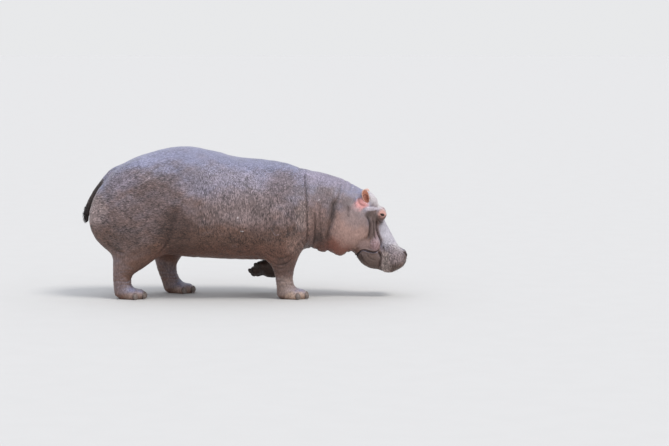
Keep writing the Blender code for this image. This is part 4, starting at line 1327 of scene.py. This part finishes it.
def finished(piece, slot, material, *nodes):
    """A piece with its material, riding on the body, and the nodes that it stands for."""
    piece.data.materials.append(material)
    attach(piece, "root")
    if nodes:
        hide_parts(*nodes)
    return piece


def ear_masks(sculpt, points):
    """Two values at each point: 1 on the ears, and 1 inside their cups."""
    tree = BVHTree.FromPolygons(sculpt.points.tolist(), sculpt.faces.tolist())
    grown, pit = np.zeros(len(points)), np.zeros(len(points))
    for side in BOTH:
        ear = to_ear(points, side)
        close = np.flatnonzero(np.abs(ear).max(axis=1) < 0.19)
        ear = ear[close]
        away = np.array([tree.find_nearest(Vector(points[i]))[3] for i in close])
        grown[close] = np.maximum(grown[close], smoothstep(0.0005, 0.010, away))
        inside = smoothstep(1.04, 0.80, out_of_ear(ear)) * smoothstep(-0.070, -0.050, ear[:, 2])
        pit[close] = np.maximum(pit[close], inside)
    return grown, pit


def nail_creases(points):
    """The shade in the skin round every nail."""
    shade = np.zeros(len(points))
    for node in ALL_NAILS:
        low, high = (np.array(corner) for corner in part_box(node))
        away = np.linalg.norm((points - (low + high) / 2) / ((high - low) / 2), axis=1)
        shade = np.maximum(shade, 0.75 * smoothstep(1.45, 1.05, away))
    return shade


def soft_ear_joints(points, faces):
    """The skin with the joint round the foot of each ear smoothed out."""
    joint = np.zeros(len(points))
    for side in BOTH:
        ear = to_ear(points, side)
        close = np.hypot(ear[:, 0], ear[:, 1]) < 0.075
        joint[close] = 0.5 * smoothstep(0.032, 0.010, np.abs(ear[close, 2] - 0.002))
    return smoothed(points, edges_of(faces)[0], joint, 10)


def make_skin():
    """The skin with what its material needs at each point. See hide_material."""
    sculpt, whiskers = sculpt_skin()
    points, faces = with_ears(sculpt.points, sculpt.faces)
    crease = np.maximum(carried_over(sculpt, points), nail_creases(points))
    grown, pit = ear_masks(sculpt, points)
    points = soft_ear_joints(points, faces)
    normals = normals_of(points, faces)
    x, _, z = points.T
    body = (0.45 + 0.55 * smoothstep(0.40, 0.58, z)) * (0.40 + 0.60 * smoothstep(1.55, 1.30, z))
    body *= (1 - 0.40 * smoothstep(0.68, 0.74, x)) * (1 - headness(points))
    muzzle = smoothstep(1.42, 1.52, x) * smoothstep(0.66, 0.54, z)
    mesh = make_mesh("hippo_skin", points, faces)
    add_colour(mesh, "tone", painted(points, normals, grown, pit))
    add_value(mesh, "crease", crease)
    add_value(mesh, "rump", smoothstep(-0.35, -0.75, x) * smoothstep(0.40, 0.60, z))
    add_value(mesh, "flank", np.maximum(body, muzzle))
    add_value(mesh, "above", smoothstep(0.15, 0.65, normals[:, 2]) * smoothstep(0.7, 0.95, z))
    skin = make_object("hippo_skin", mesh)
    finished(skin, "hide", hide_material(), *FLESH, *EARS.values())
    return sculpt, whiskers


def carried_over(sculpt, points):
    """The crease values of a mesh on the points of another that has most of the same points."""

    def keys(places):
        return map(tuple, np.round(places * 20000).astype(int).tolist())

    lookup = dict(zip(keys(sculpt.points), sculpt.crease))
    return np.array([lookup.get(key, 0.0) for key in keys(points)])


def make_eye(side):
    """A ball with a bulging cornea over the iris."""
    gaze, slit, up = eye_axes(side)
    centre = middle_of(EYES[side])
    rows, columns = 48, 72
    turn, spin = np.meshgrid(
        np.arange(rows + 1) * math.pi / rows, np.arange(columns) * 2 * math.pi / columns, indexing="ij"
    )
    turn, spin = turn.reshape(-1, 1), spin.reshape(-1, 1)
    radius = EYE_RADIUS - 0.0004 + 0.0011 * np.exp(-((turn / 0.62) ** 4))
    around = slit * np.cos(spin) + up * np.sin(spin)
    points = centre + (gaze * np.cos(turn) + around * np.sin(turn)) * radius
    points, faces = merged(points, cut_quads(grid_quads(rows + 1, columns, closed=True)))
    name = "eyeball_right" if side < 0 else "eyeball_left"
    eye = make_object(name, make_mesh(name, points, outward(points, faces, centre)))
    finished(eye, "eye", eye_material(side), EYES[side])


def merged(points, faces):
    """A mesh whose points in the same place are one, without the faces that this closes up."""
    _, first, number = np.unique(np.round(points, 7), axis=0, return_index=True, return_inverse=True)
    a, b, c = number.reshape(-1)[faces].T
    return points[first], np.column_stack([a, b, c])[(a != b) & (b != c) & (c != a)]


def outward(points, faces, centre):
    """Faces of a shape round its centre, all turned outwards."""
    a, b, c = points[faces].transpose(1, 0, 2)
    inward = (np.cross(b - a, c - a) * (a + b + c - 3 * centre)).sum(axis=1) < 0
    return np.where(inward[:, None], faces[:, ::-1], faces)


def make_nails(leg, material):
    """The four nails of a foot: the CAD's nails, rounder and with worn lower edges."""
    shapes, worn = [], []
    for node in NAILS[leg]:
        nail = make_object("nail", make_mesh("nail", *merged(*cad_shape(node))))
        divide = nail.modifiers.new("Rounder", "SUBSURF")
        divide.levels = divide.render_levels = 2
        points, faces = evaluated(nail)
        low, high = (np.array(corner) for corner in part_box(node))
        middle = (low + high) / 2
        points = (middle + (points - middle) * 1.06).clip(low, high)
        shapes.append((points, faces))
        worn.append(smoothstep(0.30, 0.05, (points[:, 2] - low[2]) / (high[2] - low[2])))
    points, faces = put_together(shapes)
    points[:, 2] = points[:, 2].clip(0)
    mesh = make_mesh(f"nails_{leg}", points, faces)
    add_value(mesh, "worn", np.concatenate(worn))
    # the lifted foot's nails get mud and painted shade
    add_value(mesh, "mud_and_shade", np.full(len(points), float(leg == "foreleg_left")))
    finished(make_object(f"nails_{leg}", mesh), "nail", material, *NAILS[leg])


def bristle(root, way, length, radius, bend, rng):
    """A tapered, bent spike with three sides: points, faces, place along it and root."""
    way = unit(way)
    side = unit(np.cross(way, rng.normal(size=3)))
    other = np.cross(way, side)
    points, along = [], []
    for t in (0.0, 0.4, 0.75):
        middle = root + way * length * t + bend * t * t
        for corner in range(3):
            turn = 2 * math.pi * corner / 3
            arm = side * math.cos(turn) + other * math.sin(turn)
            points.append(middle + arm * radius * (1 - 0.85 * t))
            along.append(t)
    points.append(root + way * length + bend)
    along.append(1.0)
    faces = [(6, 7, 9), (7, 8, 9), (8, 6, 9), (2, 1, 0)]
    for level in (0, 3):
        for a in range(3):
            b = (a + 1) % 3
            faces.append((level + a, level + b, level + 3 + b))
            faces.append((level + a, level + 3 + b, level + 3 + a))
    return np.array(points), np.array(faces), np.array(along), root


def make_bristles(name, hairs, material, centre, slot="hide"):
    """One piece of many bristles. Each is a small patch at its root's place on the piece's map,
    which unrolls the skin round `centre` by longitude and height."""
    points, faces = put_together([(points, faces) for points, faces, _, _ in hairs])
    mesh = make_mesh(name, points, faces)
    add_value(mesh, "along", np.concatenate([along for _, _, along, _ in hairs]))
    x, y, z = (np.array([root for _, _, _, root in hairs]) - centre).T
    turn = np.arctan2(y, x) / (2 * math.pi) + 0.5
    rise = z / np.abs(z).max() / 2 + 0.5
    at = np.column_stack([turn, rise]) * 0.98 + 0.01
    squares = [small_square(points - root, place) for (points, _, _, root), place in zip(hairs, at)]
    corners = np.empty(len(mesh.loops), np.int32)
    mesh.loops.foreach_get("vertex_index", corners)
    layer = mesh.uv_layers.new(name="OFBake")
    layer.uv.foreach_set("vector", np.concatenate(squares)[corners].astype(np.float32).ravel())
    finished(make_object(name, mesh), slot, material)


def small_square(offset, place):
    """A bristle laid flat in a square about BRISTLE_SQUARE across on its piece's map."""
    flat = np.column_stack([offset[:, 0] + offset[:, 1], offset[:, 2]])
    span = np.ptp(flat, axis=0).max()
    return place + (flat - flat.mean(axis=0)) / max(span, 1e-6) * BRISTLE_SQUARE


def muzzle_bristles(sculpt, roots):
    """One to three short bristles in each dimple of the muzzle."""
    rng = np.random.default_rng(5)
    hairs = []
    for root in roots:
        place, normal = sculpt.nearest(root)
        for _ in range(rng.integers(1, 4)):
            start = place - normal * 0.002 + rng.normal(size=3) * 0.0018
            way = normal + rng.normal(size=3) * 0.22 + (0.10, 0, -0.55)
            length = rng.uniform(0.010, 0.022)
            hairs.append(bristle(start, way, length, 0.00055, np.array((0, 0, -0.005)), rng))
    material = bristle_material("muzzle_bristle", (0.16, 0.11, 0.09), (0.46, 0.38, 0.32))
    make_bristles("muzzle_bristles", hairs, material, (1.55, 0.0, 0.42))


def ear_hairs():
    """Short hairs along the rim of each ear."""
    rng = np.random.default_rng(6)
    hairs = []
    for side in BOTH:
        matrix = np.array(ear_matrix(side))
        leaf = ear_leaf(0.5 * EAR_WALL)
        rim = np.array([*leaf[6:, 0], *leaf[:5:-1, -1]])
        for place in smooth_line(rim[::3], 0.0011):
            way = place * (0, 1, 0.2) + (0.020, 0, 0.010) + rng.normal(size=3) * 0.014
            way = matrix[:3, :3] @ way
            start = from_ear(place, side)
            hairs.append(bristle(start, way, rng.uniform(0.005, 0.011), 0.00032, np.zeros(3), rng))
    material = bristle_material("ear_hair", (0.50, 0.28, 0.20), (0.70, 0.50, 0.38))
    make_bristles("ear_hairs", hairs, material, (1.31, 0.0, 1.10), "ear_skin")


def tail_bristles(sculpt):
    """Stout black bristles down the back of the tail, thickest and longest on its lower part."""
    rng = np.random.default_rng(7)
    hairs = []
    for x, _, z in smooth_line(TAIL_LINE, 0.003)[::-1]:
        thick = smoothstep(1.16, 0.88, z)
        for side in BOTH:
            for _ in range(1 + int(4 * thick)):
                reach = rng.uniform(-0.055, 0.020)
                place, normal = sculpt.nearest((x + reach, side * rng.uniform(0.002, 0.05), z))
                if normal[0] > 0.2:
                    continue
                way = normal * 0.7 + (-0.45, side * 0.10, -0.9) + rng.normal(size=3) * 0.15
                length = rng.uniform(0.016, 0.038) * (0.4 + 0.6 * thick)
                bend = np.array((0, 0, -0.008))
                hairs.append(bristle(place - normal * 0.003, way, length, 0.0010, bend, rng))
    material = bristle_material("tail_bristle", (0.020, 0.015, 0.014), (0.045, 0.034, 0.030))
    make_bristles("tail_bristles", hairs, material, (-1.60, 0.0, 0.95))


# --- studio -------------------------------------------------------------------------------------

CAMERA_TARGET = (0.9735, 0.0, 0.7915)
CAMERA_DISTANCE = 25.0
CAMERA_ELEVATION = 5.0
CAMERA_LENS = 124.04
CAMERA_SENSOR = 36.0
FLOOR_REACH = 400.0

# A soft dome of light, brighter overhead, with the floor's brightness along its foot, and one
# broad soft key
HORIZON_TOP, DOME_FOOT = 0.03, 0.08
HORIZON = (0.806, 0.812, 0.824)
DOME_LOW = (0.70, 0.705, 0.71)
DOME_TOP = (1.17, 1.22, 1.34)
KEY_FROM = (0.50, -0.35, 1.0)
KEY_STRENGTH = 1.5
KEY_SPREAD = 20  # in degrees
KEY_COLOUR = (1.0, 0.96, 0.90)


def make_camera():
    data = bpy.data.cameras.new("camera")
    data.sensor_width, data.lens = CAMERA_SENSOR, CAMERA_LENS
    data.clip_end = 200
    camera = make_object("camera", data)
    lift = math.radians(CAMERA_ELEVATION)
    back = Vector((0, -math.cos(lift), math.sin(lift)))
    camera.location = Vector(CAMERA_TARGET) + back * CAMERA_DISTANCE
    camera.rotation_euler = (math.radians(90 - CAMERA_ELEVATION), 0, 0)
    bpy.context.scene.camera = camera


def make_studio():
    """A plain pale floor, a soft dome and one broad key light."""
    corners = np.array([(-1, -1, 0), (1, -1, 0), (1, 1, 0), (-1, 1, 0)]) * FLOOR_REACH
    floor = make_object("floor", make_mesh("floor", corners, np.array([(0, 1, 2, 3)])))
    floor.data.materials.append(floor_material())
    world = bpy.data.worlds.new("studio")
    bpy.context.scene.world = world
    world.use_nodes = True
    nodes, links = world.node_tree.nodes, world.node_tree.links
    split = nodes.new("ShaderNodeSeparateXYZ")
    links.new(nodes.new("ShaderNodeTexCoord").outputs["Generated"], split.inputs[0])
    ramp = nodes.new("ShaderNodeValToRGB")
    steps = ramp.color_ramp.elements
    steps[0].position, steps[0].color = HORIZON_TOP, (*HORIZON, 1)
    steps[1].color = (*DOME_TOP, 1)
    steps.new(DOME_FOOT).color = (*DOME_LOW, 1)
    links.new(split.outputs["Z"], ramp.inputs[0])
    links.new(ramp.outputs[0], nodes["Background"].inputs["Color"])
    sun = bpy.data.lights.new("key", "SUN")
    sun.energy, sun.angle, sun.color = KEY_STRENGTH, math.radians(KEY_SPREAD), KEY_COLOUR
    key = make_object("key", sun)
    key.rotation_mode = "QUATERNION"
    key.rotation_quaternion = (-Vector(KEY_FROM)).to_track_quat("-Z", "Y")
    bpy.context.scene.view_settings.view_transform = "Standard"


skin, whisker_roots = make_skin()
for side in BOTH:
    make_eye(side)
horn = nail_material()
for leg in LEGS:
    make_nails(leg, horn)
muzzle_bristles(skin, whisker_roots)
ear_hairs()
tail_bristles(skin)
make_camera()
make_studio()
